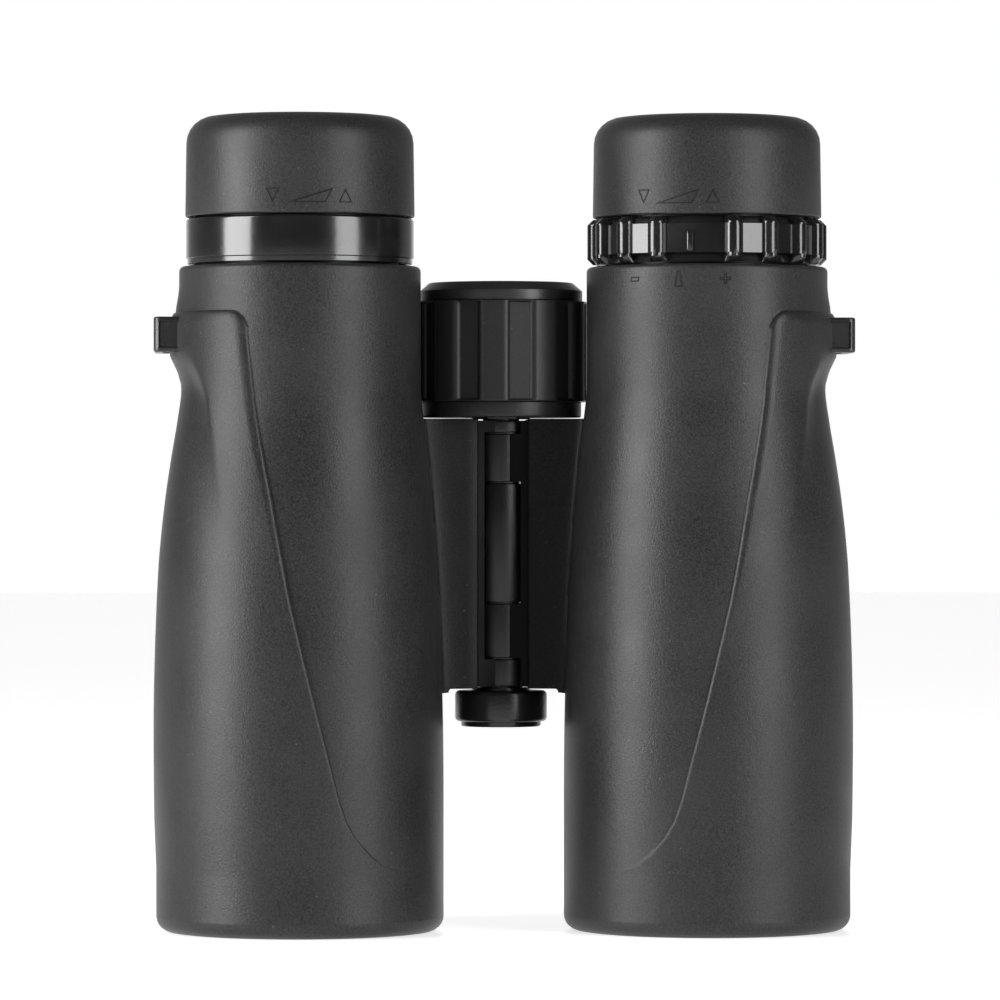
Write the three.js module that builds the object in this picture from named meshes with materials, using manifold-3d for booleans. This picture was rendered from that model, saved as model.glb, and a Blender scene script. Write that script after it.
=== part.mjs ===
// Roof-prism binoculars of the 42 mm class, standing upright on their objective rims.
//
// Millimetres, +Z up towards the eyepieces. The underside of the instrument faces -Y, its top
// side faces +Y, and +X is the user's right. The origin lies on the floor, midway between the barrels.
//
// Both halves are made by the same functions. Each half is drawn in its own frame, whose Z axis is
// the barrel axis and whose +X points away from the bridge, and the left half is the mirrored one.
// Pieces of the bridge are drawn in the hinge frame: its Z axis is the hinge, and its +X runs along
// the web to the barrel.

import * as THREE from 'three';
import { mergeVertices } from 'three/addons/utils/BufferGeometryUtils.js';
import Module from 'manifold-3d';

const wasm = await Module();
wasm.setup();

// ---------------------------------------------------------------- driving dimensions

const gap = 0.3; // air between two pieces that sit against each other
const outerSides = 28; // sides of the round outer pieces
const lensSides = 20; // sides of the lenses and their cells
const smallSides = 12; // sides of axles, bores and screws

// whole instrument
const eyeSpacing = 73; // between the barrel axes, opened out flat
const hingeSetBack = 10.8; // hinge axis behind the plane of the barrel axes
const foldRange = THREE.MathUtils.degToRad(52); // how far the left half folds

// barrel, outside of the rubber
const bodyHeight = 118.7; // floor to the top rim
const baseRadius = 25.7; // objective end
const waistStep = 1.1; // the eyepiece end stands out past the eyecup by this much
const topRimInset = 0.9; // rounding of the top rim
const taperStart = 23; // above the floor
const taperEnd = 22.7; // below the top rim
const taperPower = 2.2;
const taperSteps = 4;
const rimRounding = 2.7; // bottom corner
const rimLip = 3.7; // width of the lip round the objective opening
const armourWall = 1.6;
const frontWall = 1.1; // housing wall round the objective cell
const rearWall = 1.5; // housing wall round the eyepiece
const boreStepClear = 2.8; // from the objective cell to the step in the bore

// bridge
const webTop = 27.1; // below the top rim
const webInset = 0.7; // web face inside the knuckle's surface
const webSkin = 1.2; // rubber on the web
const lipSetBack = 0.02; // front lips of the web, out from their 45 degree line
const backLip = 3.2; // back lip of the rubber, from the hinge axis
const topKnuckle = 2.1; // left half
const upperKnuckle = 8.6; // right half
const coverLength = 21.4; // plain cover in the middle of the hinge
const lowerKnuckle = 9.7; // right half
const bottomKnuckle = 4.9; // left half
const coverWall = 0.7;
const coverMargin = THREE.MathUtils.degToRad(4.5); // cover to the focusing arms

// hinge axle, its nut and the tripod socket
const axleRadius = 3.3;
const axleFootStep = 0.6; // the foot is thicker by this much
const axleFootLength = 9.2;
const axleFlangeWidth = 1.3;
const axleFlangeThickness = 0.9;
const socketRadius = 2.9; // quarter-inch tripod thread, at its root
const socketDepth = 9;
const nutWall = 1.6; // at its corners
const nutHeight = 2.4;
const capRim = 2.8; // round the axle's flange
const capHeight = 5.6;
const capToWeb = 0.5;
const capSoleInset = 1.1;
const capSoleThickness = 0.9;
const capEdge = 0.8; // chamfer
const capStud = 8; // length of the threaded stud

// focusing wheel on the hinge axis
const wheelToBarrel = 0.65;
const wheelHeight = 24.3;
const wheelToWeb = 0.3;
const wheelLipHeight = 2.5;
const wheelLipInset = 1.3;
const gripWall = 3.2;
const gripPanels = 10;
const gripPanelDepth = 0.8;
const gripPanelHalfAngle = THREE.MathUtils.degToRad(8);
const gripPanelEdge = THREE.MathUtils.degToRad(1);
const discBand = 1.6;
const discBevel = 1.5;
const discInset = 1.1;
const discTopInset = 2.85;
const hubRecessClear = 3.3; // round the tension nut
const hubRecessDepth = 3.9;
const hubBoreLength = 6.7;
const circlipWidth = 1.9;
const circlipThickness = 0.8;

// focusing rod and arms
const rodRadius = 1.8;
const focusTravel = 2.5; // each way
const rodBelowPin = 4.8;
const rodTopSetBack = 5.9; // below the wheel's top
const pinRadius = 0.7;
const armRingWall = 0.9;
const armThickness = 1.8;
const armNear = 1.4; // near face of the arm, behind the web's middle plane
const armFar = 4.2;
const armWindowReach = 2; // window past the housing's bore

// optics in each barrel
const objectiveSetBack = 5.2; // rim to the objective cell
const objectiveCellLength = 28.8;
const objectiveCellWall = 0.9;
const objectiveSeatLip = 2;
const objectiveRingHeight = 2.5;
const objectiveRingWall = 0.8;
const crownEdge = 4;
const crownFrontBulge = 1.8;
const crownBackBulge = 2.2;
const flintEdge = 5.2;
const flintBackHollow = 0.8;
const lensSteps = 2;
const focusCellClear = 2.7; // focusing cell to the bore
const focusCellWall = 1.6;
const focusCellBelowPin = 7;
const focusCellHeight = 11;
const focusLensEdge = 3;
const focusLensHollow = 1;
const cageClear = 0.5; // cage corners to the bore
const cageWall = 1;
const cageHeight = 28;
const cageToTube = 0.6;
const prismSetUp = 1.6; // above the foot of the cage
const tubeDepth = 13.7; // eyepiece tube inside the housing
const tubeWall = 4.7;
const tubeBelowRim = 7; // top of the eyepiece tube below the eyecup's rim
const ocularSetDown = 0.5; // ocular cell below the tube's top
const ocularSetUp = 0.8; // ocular cell above the tube's foot
const ocularWall = 1.3;
const ocularStep = 1.5; // inner shoulder that the lenses sit on
const fieldLensSetUp = 1.2;
const fieldLensEdge = 3;
const fieldLensBulge = 1;
const eyeLensSetDown = 2;
const eyeLensEdge = 3;
const eyeLensBulge = 1.2;
const eyeRingHeight = 1.4;
const eyeRingWall = 1.2;

// rings and eyecups
const ringHeight = 8.1;
const ringToBody = 0.4;
const trimRingInset = 0.15; // inside the eyecup's outer radius
const trimRingChamfer = 0.5;
const dioptreInset = 0.1;
const dioptreRib = 1.1;
const dioptreRibs = 18;
const dioptreRibCrest = THREE.MathUtils.degToRad(2.6); // half angles
const dioptreRibFoot = THREE.MathUtils.degToRad(5.4);
const dioptrePhase = THREE.MathUtils.degToRad(-10.9); // missing rib, from the front
const eyecupHeight = 18;
const eyecupRadius = 20.5;
const eyecupDraft = 0.25; // it is narrower by this much at the top
const eyecupRounding = 4.8;
const eyecupInnerRounding = 3.3;
const eyecupLipReach = 1.2; // lip past the inner rounding
const eyecupLip = 1.8;
const eyecupSteps = 3;
const eyecupWall = 1.2;
const sleeveWall = 1.1;
const sleeveBelowRim = 5.3;
const detentHeight = 1.5;
const detentWall = 4.6;

// strap lugs
const lugTop = 9.1; // below the top rim
const lugHeight = 6.3;
const lugStandOff = 4.5; // outer face from the barrel's waist
const lugHalfWidth = 7;
const lugBar = 1.6;
const lugSlotHalfWidth = 4.75;
const lugSlotDepth = 2.4;
const lugCorner = 1.2;
const screwRadius = 1;
const screwHeadRadius = 1.9;
const screwHeadHeight = 0.5;
const screwBite = 1.6; // into the lug

// ---------------------------------------------------------------- worked out from them

const halfSpacing = eyeSpacing / 2;
const waistRadius = eyecupRadius + waistStep;
const hingeReach = Math.hypot(halfSpacing, hingeSetBack); // hinge axis to barrel axis
const webTilt = Math.atan2(hingeSetBack, halfSpacing);

const housingInset = armourWall + gap;
const frontBore = baseRadius - housingInset - frontWall;
const rearBore = waistRadius - housingInset - rearWall;
const taperTopHeight = bodyHeight - taperEnd;
const housingTop = bodyHeight - gap;
const objectiveCellTop = objectiveSetBack + objectiveCellLength;
const boreStep = objectiveCellTop + boreStepClear;

const webTopHeight = bodyHeight - webTop;
const armEyeRadius = axleRadius + gap + armRingWall;
const knuckleRadius = armEyeRadius + gap + coverWall;
const webHalf = knuckleRadius - webInset;
const skinHalf = webHalf + gap + webSkin;
const hingeClear = knuckleRadius + gap;
const topKnuckleSpan = [webTopHeight - gap - topKnuckle, webTopHeight - gap];
const upperKnuckleSpan = [topKnuckleSpan[0] - gap - upperKnuckle, topKnuckleSpan[0] - gap];
const coverSpan = [upperKnuckleSpan[0] - gap - coverLength, upperKnuckleSpan[0] - gap];
const lowerKnuckleSpan = [coverSpan[0] - gap - lowerKnuckle, coverSpan[0] - gap];
const bottomKnuckleSpan = [lowerKnuckleSpan[0] - gap - bottomKnuckle, lowerKnuckleSpan[0] - gap];
const webFoot = bottomKnuckleSpan[0] - gap;

const wheelRadius = hingeReach - waistRadius - wheelToBarrel;
const wheelFoot = webTopHeight + wheelToWeb;
const wheelTop = wheelFoot + wheelHeight;
const discFoot = wheelTop - discBevel - discBand;
const hubBoreFoot = wheelFoot + hubRecessDepth;
const hubCavityFoot = hubBoreFoot + hubBoreLength;
const circlipTop = hubCavityFoot + gap + circlipThickness;
const axleTop = circlipTop + 2 * gap;
const axleFoot = webFoot - axleFlangeThickness;
const axleFootRadius = axleRadius + axleFootStep;
const axleFlangeRadius = axleFootRadius + axleFlangeWidth;
const nutRadius = axleRadius + gap + nutWall;
const hubRecessRadius = nutRadius + hubRecessClear;
const hubCavityRadius = axleRadius + gap + circlipWidth + gap;
const capRadius = axleFlangeRadius + gap + capRim;

const pinHeight = (coverSpan[0] + coverSpan[1]) / 2;
const rodFoot = pinHeight - rodBelowPin;
const rodTop = wheelTop - rodTopSetBack;
const pinReach = armEyeRadius - gap / 3;

const objectiveCellRadius = frontBore - gap;
const objectiveCellBore = objectiveCellRadius - objectiveCellWall;
const objectiveLensRadius = objectiveCellBore - gap;
const crownFoot = objectiveSetBack + gap + objectiveRingHeight + gap;
const flintFoot = crownFoot + crownEdge + gap;
const objectiveSeat = flintFoot + flintEdge + gap;

const tubeFoot = bodyHeight - tubeDepth;
const cageTop = tubeFoot - cageToTube;
const cageFoot = cageTop - cageHeight;
const cageHalf = (rearBore - cageClear) / Math.SQRT2;
const focusCellRadius = rearBore - focusCellClear;
const focusCellFoot = pinHeight - focusCellBelowPin;

const ringFoot = bodyHeight + ringToBody;
const ringTop = ringFoot + ringHeight;
const eyecupFoot = ringTop + gap;
const eyecupTop = eyecupFoot + eyecupHeight;
const coverBore = eyecupRadius - eyecupWall;
const sleeveRadius = coverBore - gap;
const sleeveBore = sleeveRadius - sleeveWall;
const guideRadius = sleeveBore - gap;
const tubeTop = eyecupTop - tubeBelowRim;
const tubeBore = guideRadius - tubeWall;
const eyecupOpening = eyecupRadius - eyecupWall - eyecupInnerRounding - eyecupLipReach;
const eyecupTopRadius = eyecupRadius - eyecupDraft;
const dioptreRadius = eyecupRadius - dioptreInset;
const detentBore = guideRadius - detentWall;
const ocularRadius = tubeBore - gap;
const ocularBore = ocularRadius - ocularWall;
const ocularLensRadius = ocularBore - gap;
const ocularFoot = tubeFoot + ocularSetUp;
const ocularTop = tubeTop - ocularSetDown;
const eyeLensTop = ocularTop - eyeLensSetDown;

const lugTopHeight = bodyHeight - lugTop;
const lugFoot = lugTopHeight - lugHeight;
const lugMiddle = (lugTopHeight + lugFoot) / 2;
const lugBase = waistRadius - armourWall; // inner face of the lug, on the housing
const lugReach = waistRadius + lugStandOff;

// ---------------------------------------------------------------- materials

function finish(color, roughness, metalness) {
  return new THREE.MeshStandardMaterial({ color, roughness, metalness, flatShading: true });
}

const rubber = finish(0x333436, 0.62, 0);
const casting = finish(0x2a2b2d, 0.5, 0.3);
const blackMetal = finish(0x141415, 0.35, 0.8);
const steel = finish(0x8c8f92, 0.35, 1);
const brass = finish(0x9a7b3c, 0.4, 1);
const glossPlastic = finish(0x151516, 0.22, 0);
const softPlastic = finish(0x1e1f20, 0.5, 0);
const glass = finish(0x9fb7b0, 0.05, 0);

// ---------------------------------------------------------------- shapes

// A ring or a solid of revolution about Z from [radius, height] corners, anticlockwise in that plane.
function turned(corners, sides) {
  const outline = corners.map(([radius, height]) => new THREE.Vector2(radius, height));
  outline.push(outline[0].clone());
  return new THREE.LatheGeometry(outline, sides).rotateX(Math.PI / 2);
}

// A plain cylinder on the Z axis.
function rod(radius, foot, top, sides) {
  return turned([[0, foot], [radius, foot], [radius, top], [0, top]], sides);
}

// A plain ring on the Z axis.
function ring(bore, radius, foot, top, sides) {
  return turned([[bore, foot], [radius, foot], [radius, top], [bore, top]], sides);
}

// A box between two opposite corners.
function block(low, high) {
  const size = high.map((value, axis) => value - low[axis]);
  const middle = high.map((value, axis) => (value + low[axis]) / 2);
  return new THREE.BoxGeometry(...size).translate(...middle);
}

// An upright prism on an outline of [x, y] corners, with an optional round hole on the Z axis.
function upright(corners, foot, top, holeRadius = 0, holeSides = outerSides) {
  const shape = new THREE.Shape(corners.map(([x, y]) => new THREE.Vector2(x, y)));
  if (holeRadius > 0) {
    const edge = [];
    for (let step = 0; step < holeSides; step += 1) {
      edge.push(new THREE.Vector2(...polar(holeRadius, (2 * Math.PI * step) / holeSides)));
    }
    shape.holes.push(new THREE.Path(edge));
  }
  const geometry = new THREE.ExtrudeGeometry(shape, { depth: top - foot, bevelEnabled: false });
  return geometry.translate(0, 0, foot);
}

// A prism whose outline of [x, z] corners stands upright and whose thickness runs along Y.
function sideways(corners, halfThickness) {
  return upright(corners, -halfThickness, halfThickness).rotateX(Math.PI / 2);
}

// The point at a radius and an angle about Z.
function polar(radius, angle) {
  return [radius * Math.cos(angle), radius * Math.sin(angle)];
}

// Corners along a circular arc in the [radius, height] plane, both ends included.
function arc(centre, radius, startAngle, endAngle, steps) {
  const corners = [];
  for (let step = 0; step <= steps; step += 1) {
    const [across, up] = polar(radius, startAngle + ((endAngle - startAngle) * step) / steps);
    corners.push([centre[0] + across, centre[1] + up]);
  }
  return corners;
}

// A lens on the Z axis. Each face is a shallow parabola that bulges outwards, or inwards if negative.
function lens(radius, foot, footBulge, top, topBulge) {
  const corners = [];
  for (let step = 0; step <= lensSteps; step += 1) {
    const share = step / lensSteps;
    corners.push([radius * share, foot - footBulge * (1 - share * share)]);
  }
  for (let step = lensSteps; step >= 0; step -= 1) {
    const share = step / lensSteps;
    corners.push([radius * share, top + topBulge * (1 - share * share)]);
  }
  return turned(corners, lensSides);
}

// From the hinge frame to the frame of a half.
function toHinge(geometry) {
  return geometry.rotateZ(-webTilt).translate(-halfSpacing, hingeSetBack, 0);
}

// A closed geometry as a solid that can be joined and cut.
function solid(geometry) {
  geometry.deleteAttribute('normal');
  geometry.deleteAttribute('uv');
  const merged = mergeVertices(geometry);
  const corners = merged.index.array;
  const triangles = [];
  for (let first = 0; first < corners.length; first += 3) {
    const [a, b, c] = corners.slice(first, first + 3);
    if (a !== b && b !== c && c !== a) {
      triangles.push(a, b, c);
    }
  }
  const vertProperties = merged.getAttribute('position').array;
  const mesh = new wasm.Mesh({ numProp: 3, vertProperties, triVerts: new Uint32Array(triangles) });
  return new wasm.Manifold(mesh);
}

function cut(body, ...tools) {
  return tools.reduce((left, tool) => left.subtract(solid(tool)), body);
}

function join(body, ...additions) {
  return additions.reduce((left, addition) => left.add(solid(addition)), body);
}

// A named mesh of a solid or of a closed geometry.
function piece(name, shape, material) {
  const body = shape.isBufferGeometry ? solid(shape) : shape;
  const { vertProperties, triVerts } = body.getMesh();
  const geometry = new THREE.BufferGeometry();
  geometry.setAttribute('position', new THREE.BufferAttribute(vertProperties, 3));
  geometry.setIndex(new THREE.BufferAttribute(triVerts, 1));
  geometry.computeVertexNormals();
  const mesh = new THREE.Mesh(geometry, material);
  mesh.name = name;
  return mesh;
}

// ---------------------------------------------------------------- barrel: housing and armour

// Outside radius of the rubber at a height: it tapers from the base to the waist.
function barrelRadius(height) {
  const share = (height - taperStart) / (taperTopHeight - taperStart);
  const held = THREE.MathUtils.clamp(share, 0, 1);
  return baseRadius - (baseRadius - waistRadius) * held ** taperPower;
}

// Corners up the barrel's side, set in from the rubber's outside.
function barrelSide(inset, foot, top) {
  const corners = [[barrelRadius(foot) - inset, foot]];
  for (let step = 0; step <= taperSteps; step += 1) {
    const height = taperStart + ((taperTopHeight - taperStart) * step) / taperSteps;
    corners.push([barrelRadius(height) - inset, height]);
  }
  corners.push([barrelRadius(top) - inset, top]);
  return corners;
}

function focusArmSpan(side) {
  const near = pinRadius + gap;
  const far = near + armThickness;
  return side === 'right' ? [pinHeight + near, pinHeight + far] : [pinHeight - far, pinHeight - near];
}

function screwCut(radius, start, end) {
  return rod(radius, start, end, smallSides).rotateY(Math.PI / 2).translate(0, 0, lugMiddle);
}

function housing(side) {
  const foot = housingInset + rimRounding / 3;
  const outside = [
    [0, housingInset],
    [barrelRadius(0) - housingInset - rimRounding / 3, housingInset],
    ...barrelSide(housingInset, foot, housingTop),
    [0, housingTop],
  ];
  const bores = [
    [0, 0],
    [frontBore, 0],
    [frontBore, boreStep],
    [rearBore, boreStep],
    [rearBore, bodyHeight],
    [0, bodyHeight],
  ];
  const spans = side === 'right'
    ? [upperKnuckleSpan, lowerKnuckleSpan]
    : [topKnuckleSpan, bottomKnuckleSpan];
  const [webLow, webHigh] = [webFoot + gap, webTopHeight - gap];

  // the web stops short of the other half's knuckles, and its front corner is cut back for the fold
  const webEnd = hingeReach - rearBore - rearWall / 2;
  const frontCut = [-1, -webHalf - 1, webLow - 1];
  let web = cut(
    solid(toHinge(block([0, -webHalf, webLow], [webEnd, webHalf, webHigh]))),
    toHinge(rod(hingeClear, webLow - 1, webHigh + 1, lensSides)),
    toHinge(block(frontCut, [webHalf + lipSetBack, 0, webHigh + 1])),
  );
  for (const [low, high] of spans) {
    web = join(
      web,
      toHinge(rod(knuckleRadius, low, high, lensSides)),
      toHinge(block([0, -webHalf, low], [hingeClear + 2, webHalf, high])),
    );
  }

  const [armFoot, armTop] = focusArmSpan(side);
  const play = focusTravel + gap;
  const windowFoot = [-1, armNear - gap, armFoot - play];
  const windowTop = [hingeReach - rearBore + armWindowReach, webHalf + 1, armTop + play];
  const footBore = axleFootRadius + gap;
  return cut(
    solid(turned(outside, outerSides)).add(web),
    turned(bores, outerSides),
    toHinge(rod(axleRadius + gap, webLow - 1, webHigh + 1, smallSides)),
    toHinge(rod(footBore, webLow - 1, webFoot + axleFootLength + gap, smallSides)),
    toHinge(block(windowFoot, windowTop)),
    screwCut(screwRadius + gap, rearBore - 2, waistRadius),
    screwCut(screwHeadRadius + gap, rearBore - 2, rearBore + screwHeadHeight + 2 * gap),
  );
}

function armour() {
  const inner = barrelSide(armourWall, armourWall, bodyHeight).reverse();
  const outer = barrelSide(0, rimRounding, bodyHeight - topRimInset);
  const corner = arc([baseRadius - rimRounding, rimRounding], rimRounding, -Math.PI / 2, 0, 3);
  const opening = baseRadius - rimLip;
  const profile = [
    [opening, 0],
    ...corner.slice(0, -1),
    ...outer,
    [waistRadius - topRimInset, bodyHeight],
    ...inner,
    [opening, armourWall],
  ];
  const core = [
    [0, armourWall],
    ...barrelSide(armourWall, armourWall, bodyHeight),
    [0, bodyHeight],
  ];
  const reach = hingeReach - rearBore;
  const skinBack = hingeReach - waistRadius + 1;
  let skin = solid(toHinge(block([0, -skinHalf, webFoot], [skinBack, skinHalf, webTopHeight])));
  skin = cut(
    skin,
    toHinge(block([-1, -skinHalf - 1, webFoot - 1], [skinHalf + lipSetBack, 0, webTopHeight + 1])),
    toHinge(block([-1, 0, webFoot - 1], [backLip, skinHalf + 1, webTopHeight + 1])),
    turned(core, outerSides),
  );
  const webRoom = webHalf + gap;
  const lugRoom = [
    [lugBase - 2, -lugHalfWidth - gap, lugFoot - gap],
    [lugReach, lugHalfWidth + gap, lugTopHeight + gap],
  ];
  const shell = solid(turned(profile, outerSides)).add(skin);
  return cut(
    shell,
    toHinge(block([-1, -webRoom, webFoot - gap], [reach, webRoom, webTopHeight + gap])),
    block(...lugRoom),
  );
}

// ---------------------------------------------------------------- optics of one barrel

function objectiveCell() {
  const top = objectiveCellTop;
  return turned([
    [objectiveCellBore, objectiveSetBack],
    [objectiveCellRadius, objectiveSetBack],
    [objectiveCellRadius, top],
    [objectiveCellBore - objectiveSeatLip, top],
    [objectiveCellBore - objectiveSeatLip, objectiveSeat],
    [objectiveCellBore, objectiveSeat],
  ], outerSides);
}

function objectiveRing() {
  const foot = objectiveSetBack + gap;
  const bore = objectiveLensRadius - objectiveRingWall;
  return ring(bore, objectiveLensRadius, foot, foot + objectiveRingHeight, lensSides);
}

function crownLens() {
  const top = crownFoot + crownEdge;
  return lens(objectiveLensRadius, crownFoot, crownFrontBulge, top, crownBackBulge);
}

function flintLens() {
  const top = flintFoot + flintEdge;
  return lens(objectiveLensRadius, flintFoot, -crownBackBulge, top, -flintBackHollow);
}

function focusCell() {
  const top = focusCellFoot + focusCellHeight;
  return ring(focusCellRadius - focusCellWall, focusCellRadius, focusCellFoot, top, lensSides);
}

function focusLens() {
  const foot = focusCellFoot + (focusCellHeight - focusLensEdge) / 2;
  const radius = focusCellRadius - focusCellWall - gap;
  return lens(radius, foot, -focusLensHollow, foot + focusLensEdge, -focusLensHollow);
}

// An arm of the focusing slide: an eye round the hinge axle and a bar into the barrel.
function focusArm(side) {
  const [foot, top] = focusArmSpan(side);
  const bore = axleRadius + gap;
  const end = hingeReach - focusCellRadius - gap;
  const eye = solid(toHinge(rod(armEyeRadius, foot, top, lensSides)));
  const joined = join(eye, toHinge(block([0, armNear, foot], [end, armFar, top])));
  return cut(joined, toHinge(rod(bore, foot - 1, top + 1, smallSides)));
}

function prismCage() {
  const inner = cageHalf - cageWall;
  const outer = block([-cageHalf, -cageHalf, cageFoot], [cageHalf, cageHalf, cageTop]);
  return cut(solid(outer), block([-inner, -inner, cageFoot - 1], [inner, inner, cageTop + 1]));
}

// The two prisms of a Schmidt-Pechan pair, either side of a thin air space at 45 degrees.
function halfPentaPrism() {
  const half = cageHalf - cageWall - gap;
  const foot = cageFoot + prismSetUp;
  const air = 2 * gap;
  return sideways([
    [-half + air, foot],
    [half, foot],
    [half, foot + 1.2 * half],
    [0.5 * half, foot + 1.5 * half - air],
  ], 0.85 * half);
}

function roofPrism() {
  const half = cageHalf - cageWall - gap;
  const foot = cageFoot + prismSetUp;
  const top = foot + 2.15 * half;
  const wedge = solid(sideways([
    [-half, foot + gap],
    [0.85 * half, foot + 1.85 * half + gap],
    [0.85 * half, top],
    [-0.35 * half, top],
    [-half, foot + 1.2 * half],
  ], half));
  const roof = upright([
    [-half, 0],
    [-0.15 * half, -0.85 * half],
    [half, -0.85 * half],
    [half, 0.85 * half],
    [-0.15 * half, 0.85 * half],
  ], foot - 1, top + 1);
  return wedge.intersect(solid(roof));
}

function eyepieceTube() {
  const seat = rearBore - gap;
  return turned([
    [tubeBore, tubeFoot],
    [seat, tubeFoot],
    [seat, bodyHeight + gap],
    [guideRadius, bodyHeight + gap],
    [guideRadius, tubeTop],
    [tubeBore, tubeTop],
  ], outerSides);
}

function ocularCell() {
  const lowSeat = ocularFoot + fieldLensSetUp + fieldLensEdge + gap;
  const highSeat = eyeLensTop - eyeLensEdge - gap;
  const stop = ocularBore - ocularStep;
  return turned([
    [ocularBore, ocularFoot],
    [ocularRadius, ocularFoot],
    [ocularRadius, ocularTop],
    [ocularBore, ocularTop],
    [ocularBore, highSeat],
    [stop, highSeat],
    [stop, lowSeat],
    [ocularBore, lowSeat],
  ], lensSides);
}

function fieldLens() {
  const foot = ocularFoot + fieldLensSetUp;
  return lens(ocularLensRadius, foot, fieldLensBulge, foot + fieldLensEdge, fieldLensBulge);
}

function eyeLens() {
  return lens(ocularLensRadius, eyeLensTop - eyeLensEdge, eyeLensBulge, eyeLensTop, 0);
}

function eyeLensRing() {
  const foot = eyeLensTop + gap;
  return ring(ocularLensRadius - eyeRingWall, ocularLensRadius, foot, foot + eyeRingHeight, lensSides);
}

// ---------------------------------------------------------------- rings, eyecups and lugs

function trimRing() {
  const radius = eyecupRadius - trimRingInset;
  return turned([
    [guideRadius + gap, ringFoot],
    [radius, ringFoot],
    [radius, ringTop - trimRingChamfer],
    [radius - trimRingChamfer, ringTop],
    [guideRadius + gap, ringTop],
  ], outerSides);
}

// The ribbed dioptre ring: one rib is left out where the index mark is.
function dioptreRing() {
  const pitch = (2 * Math.PI) / dioptreRibs;
  const front = -Math.PI / 2 + dioptrePhase;
  const crest = dioptreRadius + dioptreRib;
  const corners = [polar(dioptreRadius, front)];
  for (let rib = 1; rib < dioptreRibs; rib += 1) {
    const middle = front + rib * pitch;
    corners.push(polar(dioptreRadius, middle - pitch / 2));
    corners.push(polar(dioptreRadius, middle - dioptreRibFoot));
    corners.push(polar(crest, middle - dioptreRibCrest));
    corners.push(polar(crest, middle + dioptreRibCrest));
    corners.push(polar(dioptreRadius, middle + dioptreRibFoot));
  }
  corners.push(polar(dioptreRadius, front - pitch / 2));
  return upright(corners, ringFoot, ringTop, guideRadius + gap);
}

function eyecupCover() {
  const shoulder = eyecupTop - eyecupRounding;
  const innerTop = eyecupTop - eyecupLip;
  const outerCentre = [eyecupTopRadius - eyecupRounding, shoulder];
  const innerCentre = [coverBore - eyecupInnerRounding, innerTop - eyecupInnerRounding];
  return turned([
    [coverBore, eyecupFoot],
    [eyecupRadius, eyecupFoot],
    ...arc(outerCentre, eyecupRounding, 0, Math.PI / 2, eyecupSteps),
    [eyecupOpening, eyecupTop],
    [eyecupOpening, innerTop],
    ...arc(innerCentre, eyecupInnerRounding, Math.PI / 2, 0, eyecupSteps - 1),
  ], outerSides);
}

function eyecupSleeve() {
  return ring(sleeveBore, sleeveRadius, eyecupFoot, eyecupTop - sleeveBelowRim, outerSides);
}

function detentRing() {
  const foot = tubeTop + gap;
  return ring(detentBore, guideRadius, foot, foot + detentHeight, outerSides);
}

function strapLug() {
  const outline = [
    [lugBase - 3, -lugHalfWidth],
    [lugReach - lugCorner, -lugHalfWidth],
    [lugReach, -lugHalfWidth + lugCorner],
    [lugReach, lugHalfWidth - lugCorner],
    [lugReach - lugCorner, lugHalfWidth],
    [lugBase - 3, lugHalfWidth],
  ];
  const slotEnd = lugReach - lugBar;
  const slot = [
    [slotEnd - lugSlotDepth, -lugSlotHalfWidth, lugFoot - 1],
    [slotEnd, lugSlotHalfWidth, lugTopHeight + 1],
  ];
  return cut(
    solid(upright(outline, lugFoot, lugTopHeight)),
    rod(lugBase, lugFoot - 1, lugTopHeight + 1, outerSides),
    block(...slot),
    screwCut(screwRadius + gap, 0, lugBase + screwBite + gap),
  );
}

function lugScrew() {
  const head = rearBore + gap;
  return turned([
    [0, head],
    [screwHeadRadius, head],
    [screwHeadRadius, head + screwHeadHeight],
    [screwRadius, head + screwHeadHeight],
    [screwRadius, lugBase + screwBite],
    [0, lugBase + screwBite],
  ], smallSides).rotateY(Math.PI / 2).translate(0, 0, lugMiddle);
}

// ---------------------------------------------------------------- pieces on the hinge axis

function hingeAxle() {
  const footTop = webFoot + axleFootLength;
  const rodRoom = rodRadius + gap;
  const profile = [
    [0, axleFoot + socketDepth],
    [socketRadius, axleFoot + socketDepth],
    [socketRadius, axleFoot],
    [axleFlangeRadius, axleFoot],
    [axleFlangeRadius, webFoot],
    [axleFootRadius, webFoot],
    [axleFootRadius, footTop],
    [axleRadius, footTop],
    [axleRadius, axleTop],
    [rodRoom, axleTop],
    [rodRoom, rodFoot - focusTravel - gap],
    [0, rodFoot - focusTravel - gap],
  ];
  const play = focusTravel + pinRadius + gap;
  const slot = [
    [-axleRadius - 1, -pinRadius - gap, pinHeight - play],
    [axleRadius + 1, pinRadius + gap, pinHeight + play],
  ];
  return cut(solid(turned(profile, smallSides)), block(...slot));
}

function tensionNut() {
  const corners = [];
  for (let corner = 0; corner < 6; corner += 1) {
    corners.push(polar(nutRadius, (corner * Math.PI) / 3));
  }
  return upright(corners, webTopHeight, webTopHeight + nutHeight, axleRadius + gap, smallSides);
}

// The plain cover between the knuckles. It is open at the back, where the focusing arms pass.
function hingeCover() {
  const armEdge = Math.asin(armNear / knuckleRadius);
  const end = armEdge - coverMargin;
  const start = Math.PI + 2 * webTilt + foldRange - armEdge + coverMargin - 2 * Math.PI;
  const steps = 7;
  const outer = arc([0, 0], knuckleRadius, start, end, steps);
  const inner = arc([0, 0], knuckleRadius - coverWall, end, start, steps);
  return upright([...outer, ...inner], coverSpan[0], coverSpan[1]).rotateZ(-webTilt);
}

function circlip() {
  const foot = hubCavityFoot + gap;
  return ring(axleRadius + gap, hubCavityRadius - gap, foot, circlipTop, smallSides);
}

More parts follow.
